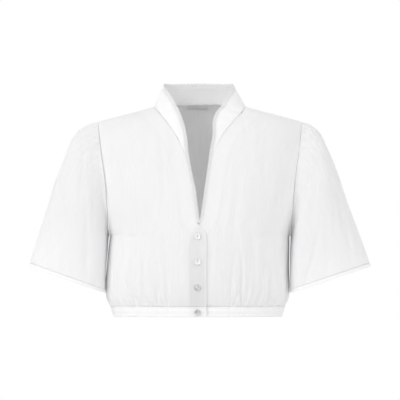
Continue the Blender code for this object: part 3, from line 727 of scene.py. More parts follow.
def thread_piece(name, points, faces, stuff, slot):
    """An object of threads, its normals made to point outwards."""
    piece = mesh_piece(name, points, faces)
    edit = bmesh.new()
    edit.from_mesh(piece.data)
    bmesh.ops.recalc_face_normals(edit, faces=edit.faces)
    edit.to_mesh(piece.data)
    edit.free()
    piece.data.materials.append(stuff)
    return piece


def stitches(path, facing, offset=0.05):
    """Stitches along a path: short spindles at an even pitch, half sunk in the cloth."""
    pitch, long, thick = STITCH
    total = length_of(path)
    count = max(int(total / pitch), 1)
    start = (np.arange(count) + 0.5) * total / count
    shape = np.linspace(-0.5, 0.5, 5)
    distance = start[:, None] + shape[None, :] * long
    lines = np.array([at_distance(path, path, d) for d in distance])
    away = unit(np.array([at_distance(path, facing, d) for d in distance]))
    arch = (1 - (2 * shape) ** 2) * 0.5 * thick + offset
    lines = lines + away * arch[None, :, None]
    width = thick * 0.5 * np.array([0.3, 0.9, 1.0, 0.9, 0.3])
    return tubes(lines, away, width, 4)


# Materials


def stuff_base(name, rough, sheen=0.0, coat=0.0, through=0.0):
    """A new node material with its shader, nodes and links; light passes through thin cloth."""
    stuff = bpy.data.materials.new(name)
    stuff.use_nodes = True
    nodes = stuff.node_tree.nodes
    shader = nodes["Principled BSDF"]
    shader.inputs["Roughness"].default_value = rough
    shader.inputs["Sheen Weight"].default_value = sheen
    shader.inputs["Coat Weight"].default_value = coat
    shader.inputs["Subsurface Weight"].default_value = through
    shader.inputs["Subsurface Radius"].default_value = (1.0, 1.0, 1.0)
    shader.inputs["Subsurface Scale"].default_value = 0.0015
    return stuff, nodes, stuff.node_tree.links, shader


def noise(nodes, links, vector, scale, detail):
    """A noise texture on a vector."""
    node = nodes.new("ShaderNodeTexNoise")
    node.inputs["Scale"].default_value = scale
    node.inputs["Detail"].default_value = detail
    links.new(vector, node.inputs["Vector"])
    return node.outputs["Fac"]


def stretched(nodes, links, vector, scale):
    """A vector scaled unevenly by a Mapping node."""
    node = nodes.new("ShaderNodeMapping")
    node.inputs["Scale"].default_value = scale
    links.new(vector, node.inputs["Vector"])
    return node.outputs["Vector"]


def bands(nodes, links, vector, direction, pitch):
    """Sine bands of a pitch in metres across a vector, as the threads of a weave."""
    node = nodes.new("ShaderNodeTexWave")
    node.wave_type = "BANDS"
    node.bands_direction = direction
    node.inputs["Scale"].default_value = math.pi / 10 / pitch
    node.inputs["Distortion"].default_value = 0.0
    links.new(vector, node.inputs["Vector"])
    return node.outputs["Fac"]


def mixed(nodes, links, kind, a, b, factor=None):
    """Two values put together by a Math node, the second one first scaled by a factor."""
    if factor is not None:
        scale = nodes.new("ShaderNodeMath")
        scale.operation = "MULTIPLY"
        scale.inputs[1].default_value = factor
        links.new(b, scale.inputs[0])
        b = scale.outputs["Value"]
    node = nodes.new("ShaderNodeMath")
    node.operation = kind
    links.new(a, node.inputs[0])
    links.new(b, node.inputs[1])
    return node.outputs["Value"]


def ramp(nodes, links, value, low, high, start=0.3, end=0.7):
    """A value turned into colours between two, by a colour ramp."""
    node = nodes.new("ShaderNodeValToRGB")
    node.color_ramp.elements[0].position = start
    node.color_ramp.elements[0].color = (*low, 1.0)
    node.color_ramp.elements[1].position = end
    node.color_ramp.elements[1].color = (*high, 1.0)
    links.new(value, node.inputs["Fac"])
    return node.outputs["Color"]


def bump(nodes, links, shader, height, distance, strength=1.0):
    """A bump of a height field, a distance in metres, on the shader's normal."""
    node = nodes.new("ShaderNodeBump")
    node.inputs["Distance"].default_value = distance
    node.inputs["Strength"].default_value = strength
    links.new(height, node.inputs["Height"])
    links.new(node.outputs["Normal"], shader.inputs["Normal"])


def batiste(name, low, high):
    """Plain-woven batiste: warp and weft bands, long slubs, and whiter doubled cloth."""
    stuff, nodes, links, shader = stuff_base(name, 0.86, sheen=0.1, through=0.8)
    uv = nodes.new("ShaderNodeTexCoord").outputs["UV"]
    slub = noise(nodes, links, stretched(nodes, links, uv, (1.0, 0.06, 1.0)), 420.0, 3.0)
    crinkle = noise(nodes, links, stretched(nodes, links, uv, (1.0, 0.12, 1.0)), 130.0, 2.0)
    warp = bands(nodes, links, uv, "X", 0.00045)
    weft = bands(nodes, links, uv, "Y", 0.0005)
    weave = mixed(nodes, links, "ADD", warp, weft)
    height = mixed(nodes, links, "ADD", slub, weave, 0.06)
    height = mixed(nodes, links, "ADD", height, crinkle, 1.6)
    bump(nodes, links, shader, height, 0.00022, 0.8)
    tone = mixed(nodes, links, "ADD", slub, weave, 0.08)
    colour = ramp(nodes, links, tone, low, high, 0.35, 0.8)
    doubled = nodes.new("ShaderNodeAttribute")
    doubled.attribute_name = "doubled"
    mix = nodes.new("ShaderNodeMix")
    mix.data_type = "RGBA"
    links.new(doubled.outputs["Fac"], mix.inputs["Factor"])
    links.new(colour, mix.inputs[6])
    whiter = tuple(value + 0.008 for value in high)
    mix.inputs[7].default_value = (*whiter, 1.0)
    links.new(mix.outputs[2], shader.inputs["Base Color"])
    return stuff


def thread_stuff(name, low, high):
    """Cotton thread: fine twisted bands and small spots of tone on object coordinates."""
    stuff, nodes, links, shader = stuff_base(name, 0.7, sheen=0.1)
    place = nodes.new("ShaderNodeTexCoord").outputs["Object"]
    fine = noise(nodes, links, place, 1800.0, 2.0)
    twist = bands(nodes, links, place, "DIAGONAL", 0.0006)
    links.new(ramp(nodes, links, fine, low, high), shader.inputs["Base Color"])
    bump(nodes, links, shader, twist, 0.00006)
    return stuff


def pearl_stuff(name, dark, light):
    """Mother-of-pearl: cloudy bands of grey and cream under a clear gloss."""
    stuff, nodes, links, shader = stuff_base(name, 0.22, coat=0.6)
    place = nodes.new("ShaderNodeTexCoord").outputs["Object"]
    cloud = noise(nodes, links, stretched(nodes, links, place, (1.0, 1.0, 0.4)), 420.0, 4.0)
    links.new(ramp(nodes, links, cloud, dark, light, 0.35, 0.62), shader.inputs["Base Color"])
    bump(nodes, links, shader, cloud, 0.00005)
    return stuff


def satin_stuff(name, low, high):
    """Satin tape: fine bands across and a soft tone, for the blank label."""
    stuff, nodes, links, shader = stuff_base(name, 0.45, sheen=0.15)
    uv = nodes.new("ShaderNodeTexCoord").outputs["UV"]
    weave = bands(nodes, links, uv, "Y", 0.0004)
    cloud = noise(nodes, links, stretched(nodes, links, uv, (0.3, 1.0, 1.0)), 700.0, 2.0)
    links.new(ramp(nodes, links, cloud, low, high), shader.inputs["Base Color"])
    bump(nodes, links, shader, weave, 0.00005)
    return stuff


COTTON = batiste("white_batiste", (0.875, 0.875, 0.882), (0.915, 0.915, 0.921))
THREAD = thread_stuff("white_thread", (0.86, 0.86, 0.865), (0.94, 0.94, 0.94))
LACE = thread_stuff("lace_cotton", (0.86, 0.86, 0.865), (0.93, 0.93, 0.93))
PEARL_LIGHT = pearl_stuff("pearl_light", (0.78, 0.78, 0.79), (0.95, 0.95, 0.94))
# Same mother-of-pearl as the light one, with a darker reflection painted into its colour
PEARL_PAINTED_REFLECTION = pearl_stuff("pearl_painted_dark_reflection", (0.36, 0.36, 0.37), (0.8, 0.8, 0.8))
SATIN = satin_stuff("label_satin", (0.84, 0.84, 0.85), (0.93, 0.93, 0.93))

# The body


def front_panel(side):
    """A front: rows from its edge to the side, with gathers, folds, puckers and seams."""
    rows = panel_rows(-1, 56, 84)
    start = edge_angle(rows, EDGE_RIGHT if side < 0 else EDGE_LEFT)
    share = np.linspace(0.0, 1.0, 232)[None, :]
    grid = rows.point(start + (rows.turn - start) * share)
    run = run_along(grid)
    flat = FLAT_BY_EDGE[0 if side < 0 else 1]
    press = gather_press(grid, gather_rows(run[0, -1], flat, 0 if side < 0 else 6))
    press += fold_press(placed(grid, side), FRONT_FOLDS)
    press += uneven(placed(grid, side), 4) + edge_puckers(grid, run)
    press += seam_dip(run.shape, ("bottom", "top", "end"))
    if side > 0:
        press += lap_inset(grid)
    grid = grid - outward(grid) * press[..., None]
    grid[-1, :, 1] -= NEAR / 2
    grid[:56, -1, 1] = -NEAR / 2
    doubled = smooth_step(27.0, 25.0, run)
    name, node = ("right_front", "front_right") if side < 0 else ("left_front", "front_left")
    grid = placed(grid, side)
    piece = cloth(name, grid, COTTON, node, doubled=doubled)
    return piece, grid


def back_panel():
    """The back: rows from side to side, their lift dipped under the neck."""
    rows = panel_rows(1, 50, 76)
    share = np.linspace(-1.0, 1.0, 321)[None, :]
    grid = rows.point(rows.turn * share, back_lift(rows, share))
    run = run_along(grid)
    press = gather_press(grid, gather_rows(run[0, -1], 3.0, 3))
    press += fold_press(placed(grid, 1), BACK_FOLDS) + uneven(placed(grid, 1), 9)
    press += seam_dip(run.shape, ("bottom", "top", "start", "end"))
    grid = grid - outward(grid) * press[..., None]
    grid[-1, :, 1] += NEAR / 2
    grid[:50, 0, 1] = grid[:50, -1, 1] = NEAR / 2
    grid = placed(grid, 1)
    return cloth("back_cloth", grid, COTTON, "back")


def casing(name, node, face, side, first, flat):
    """A length of the hem casing: gathers drawn up in it, and a dip at its two stitch lines."""
    heights = np.linspace(HEM_Z, HEM_Z + CASING_TALL + SEAM_GAP - NEAR, 15)
    rows = level_rows(face, heights)
    if side:
        start = edge_angle(rows, EDGE_RIGHT if side < 0 else EDGE_LEFT)
        share = np.linspace(0.0, 1.0, 232)[None, :]
        grid = rows.point(start + (rows.turn - start) * share)
    else:
        grid = rows.point(rows.turn * np.linspace(-1.0, 1.0, 321)[None, :])
    run = run_along(grid)
    rows_of = gather_rows(run[-1, -1], flat, first)
    fine = [(at + 2.6, 0.0, reach, 0.9, 0.9) for at, _, reach, _, _ in rows_of]
    press = gather_press(grid, rows_of + fine, CASING_SHARE)
    press *= smooth_step(0.0, 6.0, run) * smooth_step(0.0, 6.0, run[:, -1:] - run)
    for z in (-351.5, -360.5):
        press += 0.5 * np.exp(-(((grid[..., 2] - z) / 1.3) ** 2))
    press -= 0.25 * np.exp(-(((grid[..., 2] + 356.0) / 3.0) ** 2))
    press += seam_dip(run.shape, ("top", "bottom"), 0.3)
    if side > 0:
        press += lap_inset(grid) * 1.5
    facing = outward(grid)
    grid = grid - facing * press[..., None]
    grid[:, -1, 1] = face * NEAR / 2
    if not side:
        grid[:, 0, 1] = face * NEAR / 2
    grid = placed(grid, side if side else 1)
    piece = cloth(name, grid, COTTON, node, thick=1.4, doubled=np.ones(run.shape))
    return piece, grid


def sleeve_grid(side):
    """A sleeve's form: ellipses eased from the armhole's own loop down to the hem."""
    top = np.interp(np.linspace(0, 28, 105), np.linspace(0, 28, 15), ARMHOLE_ANGLES)
    angles = np.radians(np.concatenate([top, 360.0 - top[-2:0:-1]]))
    middle = (TIP_Z + UNDERARM_Z) / 2
    edge_z = middle + (TIP_Z - middle) * np.cos(np.radians(top))
    edge_x = smooth_value(ARMHOLE, 1, top)
    loops = []
    for face, column in ((-1, 2), (1, 3)):
        rows = Rows(face, edge_z, edge_x, np.radians(smooth_value(ARMHOLE, column, top)))
        loops.append(rows.point(rows.turn)[:, 0])
    loop = np.concatenate([loops[0], loops[1][-2:0:-1]])
    under = smooth_step(-200.0, -224.0, loop[:, 2])[:, None]
    step = (1 - under) * np.array([0.15, 0.0, 0.0]) + under * np.array([0.3, 0.0, 0.3])
    loop[:, 0] += side * sway(loop[:, 2])
    first = ring_points(np.array([0.0]), side, angles)[0]
    number = np.concatenate([np.linspace(0.0, 9.0, 100)])
    shape = ring_points(number, side, angles)
    keep = np.maximum(0.0, 1 - number / SLEEVE_FINE_RINGS)[:, None, None] ** 2
    grid = shape + keep * (loop - first)[None]
    grid = grid + np.maximum(0.0, 1 - number)[:, None, None] * step[None]
    return grid, angles


def ring_points(number, side, angles):
    """Sleeve rings: x and z go by the cosine between their two ends, the depth by the sine."""
    table = [(k, *row) for k, row in enumerate(SLEEVE_RINGS)]
    pick = 1 if side < 0 else 3
    outer_x, outer_z, inner_x, inner_z, front, back, forward = (
        smooth_value(table, k, number)[:, None] for k in (pick, pick + 1, 5, 6, 7, 8, 9)
    )
    inner_x = inner_x + side * sway(inner_z)
    across, deep = np.cos(angles)[None, :], np.sin(angles)[None, :]
    x = (outer_x + inner_x) / 2 + (outer_x - inner_x) / 2 * across
    z = (outer_z + inner_z) / 2 + (outer_z - inner_z) / 2 * across
    y = np.where(deep > 0, -front, -back) * deep - forward
    return np.stack([x, y, z], axis=-1)


def cap_press(grid, angles):
    """Depth of the cap gathers: a bell curve across, fading with the distance down."""
    down = run_along(np.swapaxes(grid, 0, 1)).T
    wrapped = np.degrees(np.where(angles > math.pi, angles - 2 * math.pi, angles))
    ring = run_along(np.concatenate([grid, grid[:, :1]], axis=1))[:, -1:]
    press = np.zeros(down.shape)
    for angle, reach, half, depth in CAP_GATHERS:
        away = (wrapped[None, :] - angle) / 360.0 * ring
        wide = half * (1 + down / 60.0)
        fade = np.exp(-((down / reach) ** 1.5))
        press += depth * fade * np.exp(-((away / wide) ** 2))
    return press * smooth_step(0.0, 5.0, down)


def sleeve(side):
    """A half sleeve: cap gathers, long folds on both faces, and its turned-up hem."""
    grid, angles = sleeve_grid(side)
    grid = grid * np.array([side, 1.0, 1.0])
    press = cap_press(grid, angles) + seam_dip(grid.shape[:2], ("bottom", "top"))
    ahead = (np.sin(angles) > 0)[None, :]
    near = np.abs(np.sin(angles))[None, :] ** 0.5
    front = fold_press(grid, SLEEVE_FOLDS_FRONT)
    back = fold_press(grid, SLEEVE_FOLDS_BACK)
    press += np.where(ahead, front, back) * smooth_step(0.1, 0.6, near)
    press += uneven(grid - np.array([side * 215.0, 0.0, 0.0]), 14 + side)
    facing = outward(grid, closed=True)
    plain = grid
    inside = smooth_step(186.0, 166.0, np.abs(grid[..., 0])) * smooth_step(-205.0, -235.0, grid[..., 2])
    press *= 1 - 0.9 * inside
    press = np.maximum(press, -0.8)
    grid = grid - facing * press[..., None]
    word = "right" if side < 0 else "left"
    doubled = np.zeros(grid.shape[:2])
    piece = cloth(f"{word}_sleeve", grid, COTTON, f"sleeve_{word}", closed=True,
                  doubled=doubled)
    end = ring_points(np.array([9.0, 10.0]), side, angles) * np.array([side, 1.0, 1.0])
    down = unit(end[1] - end[0])
    low = grid[-1] - plain[-1]
    t = np.linspace(0.0, 1.0, 7)[:, None, None]
    first = end[0] + down * NEAR
    hem = first[None] * (1 - t) + end[1][None] * t + low[None] * (1 - t)
    wrinkle = uneven(hem - np.array([side * 215.0, 0, 0]), 14 + side)
    puff = -0.35 * np.sin(math.pi * t[..., 0]) + wrinkle * t[..., 0]
    hem = hem - outward(hem, closed=True) * puff[..., None]
    hem_piece = cloth(f"{word}_sleeve_hem", hem, COTTON, f"sleeve_hem_{word}",
                      closed=True, thick=1.3, doubled=np.ones(hem.shape[:2]))
    return piece, hem_piece, hem


# Collar, lace and label


def refined(points, count):
    """A smooth curve through points at even steps of their number."""
    table = [(k, *p) for k, p in enumerate(points)]
    at = np.linspace(0, len(points) - 1, count)
    return np.stack([smooth_value(table, k, at) for k in (1, 2, 3)], axis=-1)


def neck_points():
    """The neck seam: up the right edge, round the back row to the left, down the left edge."""
    parts = []
    first = ARMHOLE_ANGLES.index(int(COLLAR_ANGLE))
    for side, edge in ((-1, EDGE_RIGHT), (1, EDGE_LEFT)):
        angle = np.array(ARMHOLE_ANGLES[:first + 1], float)[::-1]
        middle = (TIP_Z + UNDERARM_Z) / 2
        rows = Rows(-1, middle + (TIP_Z - middle) * np.cos(np.radians(angle)),
                    smooth_value(ARMHOLE, 1, angle),
                    np.radians(smooth_value(ARMHOLE, 2, angle)))
        parts.append(rows.point(edge_angle(rows, edge))[:, 0] * np.array([side, 1.0, 1.0]))
    top = panel_rows(1, 1, 2)
    share = np.concatenate([np.linspace(0.0, neck_share(), 13)])
    share = np.concatenate([-share[:0:-1], share])[1:-1][::2][None, :]
    behind = top.point(top.turn * share, back_lift(top, share))[-1]
    return np.concatenate([parts[0], behind, parts[1][::-1]])


def collar_grid():
    """The collar's seam and top edge, refined, and their outward directions."""
    seam = neck_points()
    middle = (len(seam) - 1) / 2
    number = np.arange(len(seam))
    station = COLLAR_STATIONS * (1 - np.abs(number - middle) / middle)
    left = number > middle
    top = np.stack([smooth_value(COLLAR_EDGE, k, station) for k in (1, 2, 3)], axis=-1)
    top[:, 0] += np.where(left, smooth_value(COLLAR_EDGE, 4, station), 0.0)
    top[:, 0] *= np.where(left, 1.0, -1.0)
    rise = unit(top - seam)
    top[0] = seam[0] + rise[1] * COLLAR_END
    top[-1] = seam[-1] + rise[-2] * COLLAR_END
    seam, top = refined(seam, 300), refined(top, 300)
    rise = unit(top - seam)
    away = unit(np.cross(np.gradient(seam, axis=0), rise))
    away *= np.sign((away * (seam - np.array([0.0, 0.0, -20.0]))).sum())
    return seam, top, rise, away


def collar():
    """The stand collar: straight rises from seam to top, bulged by 4t(1-t), with puckers."""
    seam, top, rise, away = collar_grid()
    height = np.linalg.norm(top - seam, axis=1)
    t = np.linspace(0.0, 1.0, 22)[:, None]
    low = seam + rise * NEAR * 3
    bulge = COLLAR_BULGE * np.minimum(height / 30.0, 1.0)
    station = np.linspace(0.0, 2 * COLLAR_STATIONS, len(seam))[None, :]
    press = np.zeros((22, len(seam)))
    for at, lean, half, depth in COLLAR_PUCKERS:
        press += depth * np.exp(-(((station - at - lean * t) / half) ** 2)) * (1 - 0.55 * t)
    press *= np.minimum(height / 20.0, 1.0)[None, :]
    press += 0.3 * np.exp(-(((t * height[None, :] - height[None, :] + 2.2) / 0.9) ** 2))
    out = 4 * t * (1 - t) * bulge[None, :] - press
    grid = low[None] + (top - low)[None] * t[..., None] + away[None] * out[..., None]
    piece = cloth("stand_collar", grid, COTTON, "collar", thick=DOUBLED,
                  doubled=np.full(press.shape, 0.8))
    return piece, grid, rise, away


def lace_run(right, left, collar_top, rise, away):
    """The lace's base, direction out and facing, from the right V point to the left one."""
    sides = []
    for grid, side in ((right, -1), (left, 1)):
        facing = outward(grid)
        edge = grid[:, 0]
        height = edge[:, 2]
        top = np.abs(edge - (collar_top[0] if side < 0 else collar_top[-1])).sum(axis=1).argmin()
        start = int(np.argmax(height > LACE_END_Z))
        inward = unit(edge - grid[:, 4])
        sides.append((edge[start:top - 1], inward[start:top - 1], facing[start:top - 1, 0]))
    base = np.concatenate([sides[0][0], collar_top, sides[1][0][::-1]])
    out = np.concatenate([sides[0][1], rise, sides[1][1][::-1]])
    facing = np.concatenate([sides[0][2], away, sides[1][2][::-1]])
    for _ in range(6):
        out[1:-1] = unit(out[:-2] + 2 * out[1:-1] + out[2:])
        facing[1:-1] = unit(facing[:-2] + 2 * facing[1:-1] + facing[2:])
    return base, out, facing


def lace_threads(base, out, facing, pattern):
    """Threads of one repeated motif: its plane shape laid along the lace's run."""
    total = length_of(base)
    count = int(round(total / LACE_PITCH))
    pitch = total / count
    shape = np.array(pattern, float)
    distance = (np.arange(count)[:, None] + shape[None, :, 0]) * pitch
    flat = np.clip(distance, 0.0, total).ravel()
    spine = at_distance(base, base, flat)
    rise = unit(at_distance(base, out, flat))
    face = unit(at_distance(base, facing, flat))
    wave = 0.35 * np.sin(flat / pitch * math.pi)[:, None]
    tall = np.tile(shape[:, 1], count)[:, None] * LACE_WIDE
    lift = np.tile(shape[:, 2], count)[:, None]
    lines = spine + rise * tall + face * (lift - BATISTE / 2 + wave * tall / LACE_WIDE)
    size = (count, len(shape), 3)
    return lines.reshape(size), face.reshape(size)


def arch(start, end, foot, top, steps, lift=0.0):
    """A half ellipse from foot at start to foot at end, as along, up and lift values."""
    turn = np.linspace(math.pi, 0.0, steps)
    along = (start + end) / 2 + (end - start) / 2 * np.cos(turn)
    up = foot + (top - foot) * np.sin(turn)
    return np.stack([along, up, np.full(steps, lift)], axis=-1)


def loop(centre, up, radius_along, radius_up, steps, lift=0.0):
    """A closed ellipse, as along, up and lift values."""
    turn = np.linspace(0.0, 2 * math.pi, steps)
    return np.stack([centre + radius_along * np.cos(turn), up + radius_up * np.sin(turn),
                     np.full(steps, lift)], axis=-1)


def lace(right, left, collar_top, rise, away):
    """Lace edging: a foot of two cords, an eyelet and an arch in each pitch, webs and picots."""
    base, out, facing = lace_run(right, left, collar_top, rise, away)
    steps = np.linspace(0.0, 1.0, 7)
    foot = np.stack([steps, np.full(7, 0.04), np.zeros(7)], axis=-1)
    second = np.stack([steps, np.full(7, 0.14), np.zeros(7)], axis=-1)
    webs = [
        np.stack([np.linspace(a, b, 3), np.linspace(c, d, 3), np.zeros(3)], axis=-1)
        for a, b, c, d in (
            (0.0, 0.16, 0.16, 0.3), (1.0, 0.84, 0.16, 0.3), (0.0, 0.15, 0.3, 0.42),
            (1.0, 0.85, 0.3, 0.42), (0.02, 0.2, 0.48, 0.54), (0.98, 0.8, 0.48, 0.54),
            (0.5, 0.5, 0.62, 0.84), (0.34, 0.28, 0.58, 0.78), (0.66, 0.72, 0.58, 0.78),
        )
    ]
    motifs = [
        (foot, 1.5, 5), (second, 1.2, 5),
        (loop(0.5, 0.4, 0.27, 0.235, 17, 0.12), 1.7, 6),
        (arch(0.02, 0.98, 0.16, 0.86, 15, 0.06), 1.5, 6),
        (loop(0.5, 0.93, 0.1, 0.06, 8, 0.1), 0.8, 4),
        (loop(0.22, 0.8, 0.08, 0.055, 8, 0.1), 0.8, 4),
        (loop(0.78, 0.8, 0.08, 0.055, 8, 0.1), 0.8, 4),
    ]
    motifs += [(web, 1.25, 4) for web in webs]
    parts = []
    for shape, thick, sides in motifs:
        lines, face = lace_threads(base, out, facing, shape)
        parts.append(tubes(lines, face, LACE_THREAD * thick, sides))
    piece = thread_piece("lace_trim", *joined(parts), LACE, "lace")
    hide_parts("lace_edging")


def label():
    """The blank label: the back's inner points below the neck seam, waved very slightly."""
    top = panel_rows(1, 1, 43)
    xs = np.linspace(LABEL_X - LABEL_WIDE / 2, LABEL_X + LABEL_WIDE / 2, 41)[None, :]
    share = top.angle_at(xs) / top.turn
    points = top.point(top.angle_at(xs), back_lift(top, share))
    high, low = points[-1], points[-10]
    down = unit(low - high)
    away = unit(np.cross(np.gradient(high, axis=0), down))
    away *= np.sign((away * np.array([0.0, 1.0, 0.0])).sum())
    t = np.linspace(0.0, 1.0, 14)[:, None]
    upper = high + down * 1.5 - away * 1.9
    grid = upper[None] + down[None] * (LABEL_TALL * t)[..., None]
    wave = 0.2 * np.sin(xs / 5.0) * t - 0.25 * np.exp(-(((np.abs(xs - LABEL_X) - 16.5) / 0.8) ** 2))
    grid = grid - away[None] * wave[..., None]
    faces, r, c = grid_faces(*grid.shape[:2])
    u = xs[0] * MM
    v = t[:, 0] * LABEL_TALL * MM
    uv = np.stack([np.stack([u[c + a], v[r + b]], axis=-1)
                   for a, b in ((0, 0), (1, 0), (1, 1), (0, 1))], axis=1)
    turned = faces_out(grid, faces, np.broadcast_to(-away[None], grid.shape))
    if turned is not faces:
        uv = uv[:, ::-1]
    piece = mesh_piece("blank_label", grid, turned, uv)
    piece.data.materials.append(SATIN)
    wall = piece.modifiers.new("thickness", "SOLIDIFY")
    wall.thickness = 0.45 * MM
    wall.offset = -1.0
    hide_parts("neck_label")
    ends = [grid[:, k] for k in (2, 38)]
    return piece, ends, -away[[2, 38]]


# Buttons


def centre_point(z):
    """Point of the front's outer face on its centre line at a height."""
    if z <= BUST_Z:
        return level_rows(-1, [z]).point(np.zeros((1, 1)))[0, 0]
    share = (z - BUST_Z) / (float(ridge_z(0.0)) - BUST_Z)
    power = float(roundness(0.0, -1))
    depth = float(smooth_value(SECTIONS, 2, BUST_Z))
    return np.array([0.0, -depth * (1 - share ** power) ** (1 / power), z])


def button_frame(z):
    """Seat of a button on the front, its upward and its outward direction."""
    seat = centre_point(z)
    seat[0] = BUTTON_X
    rise = centre_point(z + 4.0) - centre_point(z)
    up = unit(np.array([0.0, rise[1], rise[2]]))
    return seat, up, np.array([0.0, -up[2], up[1]])


def seated(points, z):
    """Points given as across, up and out, set on the front at a height."""
    seat, up, out = button_frame(z)
    points = np.asarray(points, float)
    return (seat + points[..., :1] * np.array([1.0, 0.0, 0.0]) + points[..., 1:2] * up
            + points[..., 2:] * out)


def turned(profile, segments, z, lift):
    """A profile of radius and height turned round the button's axis, closed at its poles."""
    turn = np.linspace(0.0, 2 * math.pi, segments, endpoint=False)
    rings = np.array(profile[1:-1])
    flat = np.stack([
        rings[:, :1] * np.cos(turn), rings[:, :1] * np.sin(turn),
        np.repeat(rings[:, 1:] + lift, segments, axis=1),
    ], axis=-1)
    faces, _, _ = grid_faces(len(rings), segments, closed=True)
    points = seated(flat, z).reshape(-1, 3)
    mesh = bpy.data.meshes.new("turned")
    last = (len(rings) - 1) * segments
    caps = [list(range(segments))[::-1], [last + k for k in range(segments)]]
    mesh.from_pydata((points * MM).tolist(), [], faces.tolist() + caps)
    edit = bmesh.new()
    edit.from_mesh(mesh)
    bmesh.ops.recalc_face_normals(edit, faces=edit.faces)
    edit.to_mesh(mesh)
    edit.free()
    return mesh


def button(number, z, stuff):
    """A turned button with two drilled holes: the profile less two round cutters."""
    scene = bpy.context.scene.collection
    disc = bpy.data.objects.new(f"pearl_button_{number}", turned(BUTTON_PROFILE, 56, z, BUTTON_LIFT))
    scene.objects.link(disc)
    cutters = []
    for place in (-0.5, 0.5):
        rod = ((0.0, -2.0), (BUTTON_HOLE, -2.0), (BUTTON_HOLE, 6.0), (0.0, 6.0))
        mesh = turned(rod, 20, z, 0.0)
        _, up, _ = button_frame(z)
        shift = up * place * BUTTON_HOLE_APART * MM
        mesh.transform(Matrix.Translation(shift))
        cutter = bpy.data.objects.new("cutter", mesh)
        scene.objects.link(cutter)
        cut = disc.modifiers.new("hole", "BOOLEAN")
        cut.operation = "DIFFERENCE"
        cut.solver = "EXACT"
        cut.object = cutter
        cutters.append(cutter)
    bpy.context.view_layer.update()
    drilled = bpy.data.meshes.new_from_object(
        disc.evaluated_get(bpy.context.evaluated_depsgraph_get()))
    disc.modifiers.clear()
    disc.data = drilled
    for cutter in cutters:
        bpy.data.objects.remove(cutter, do_unlink=True)
    drilled.shade_smooth()
    drilled.set_sharp_from_angle(angle=math.radians(35))
    drilled.materials.clear()
    drilled.materials.append(stuff)
    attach(disc, "root")
    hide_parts(f"button_{number}")
    return disc


def button_thread(z):
    """Three strands from hole to hole over the button, as curved tubes."""
    t = np.linspace(0.0, 1.0, 9)
    half = BUTTON_HOLE_APART / 2
    over = []
    for across in (-0.42, 0.0, 0.42):
        up = np.concatenate([[-half], -half + 2 * half * t, [half]])
        out = np.concatenate([[0.9], 2.15 + 0.35 * np.sin(math.pi * t), [0.9]])
        over.append(np.stack([np.full(11, across), up, out], axis=-1))
    lines = seated(np.array(over), z)
    face = np.broadcast_to(np.array([1.0, 0.0, 0.0]), lines.shape)
    return tubes(lines, face, 0.24, 5)


def buttonhole(z):
    """Close whipped stitches round an upright slit: short bars laid side by side."""
    count = 64
    turn = np.linspace(0.0, 2 * math.pi, count, endpoint=False)
    straight = 5.9
    x = np.cos(turn)
    y = np.sin(turn)
    centre = np.stack([0.75 * x, straight * np.clip(1.35 * y, -1, 1) + 0.6 * y, 0 * x], axis=-1)
    way = unit(np.stack([x, 0.5 * y * (np.abs(y) > 0.74), 0 * x], axis=-1) + 1e-6)
    s = np.linspace(-0.6, 0.6, 4)
    flat = centre[:, None, :] + way[:, None, :] * s[None, :, None]
    flat[..., 2] = 0.12 + 0.12 * np.cos(s / 0.6 * math.pi / 2)[None, :]
    lines = seated(flat, z)
    _, _, out = button_frame(z)
    return tubes(lines, np.broadcast_to(out, lines.shape), 0.16, 4)


# Put together

right_front, right_grid = front_panel(-1)
left_front, left_grid = front_panel(1)
back_cloth = back_panel()
casing_r, casing_r_grid = casing("right_casing", "casing_right", -1, -1, 0, FLAT_BY_EDGE[0] - 8)
casing_l, casing_l_grid = casing("left_casing", "casing_left", -1, 1, 6, FLAT_BY_EDGE[1] - 8)
casing_b, casing_b_grid = casing("back_casing", "casing_back", 1, 0, 3, 4.0)
sleeve_r, hem_r, hem_r_grid = sleeve(-1)
sleeve_l, hem_l, hem_l_grid = sleeve(1)
stand_collar, collar_points, rise, away = collar()
lace(right_grid, left_grid, collar_points[-1], rise, away)
blank_label, label_ends, label_facing = label()

# Buttons 3 and 4 take the pearl with its darker reflection painted into the colour
for number, z in enumerate(BUTTON_HEIGHTS, start=1):
    button(number, z, PEARL_LIGHT if number < 3 else PEARL_PAINTED_REFLECTION)
thread_piece("button_threads", *joined([button_thread(z) for z in BUTTON_HEIGHTS]), THREAD, "cotton")
thread_piece("buttonholes", *joined([buttonhole(z) for z in BUTTON_HEIGHTS]), THREAD, "cotton")


def row_line(grid, row, closed=False):
    """A row of a grid and its outward directions, joined to its start where it is closed."""
    facing = outward(grid, closed)[row]
    line = grid[row]
    if closed:
        return np.concatenate([line, line[:1]]), np.concatenate([facing, facing[:1]])
    return line, facing


def column_line(grid, column, first, last):
    """Part of a column of a grid and its outward directions."""
    return grid[first:last, column], outward(grid)[first:last, column]


hem_lines = [row_line(g, r) for g in (casing_r_grid, casing_l_grid, casing_b_grid) for r in (5, 12)]
thread_piece("hem_stitching", *joined([stitches(*line) for line in hem_lines]), THREAD, "cotton")
cuff_lines = [row_line(g, 1, closed=True) for g in (hem_r_grid, hem_l_grid)]
thread_piece("sleeve_stitching", *joined([stitches(*line) for line in cuff_lines]), THREAD, "cotton")
edge_lines = [
    column_line(right_grid, 2, 0, 118), column_line(right_grid, 25, 0, 96),
    column_line(left_grid, 2, 46, 118), column_line(left_grid, 25, 30, 96),
    (collar_points[-2], away), (collar_points[1], away),
]
thread_piece("edge_stitching", *joined([stitches(*line) for line in edge_lines]), THREAD, "cotton")
label_lines = [(end, np.broadcast_to(face, end.shape)) for end, face in zip(label_ends, label_facing)]
thread_piece("label_stitching", *joined([stitches(*line) for line in label_lines]), THREAD, "label")
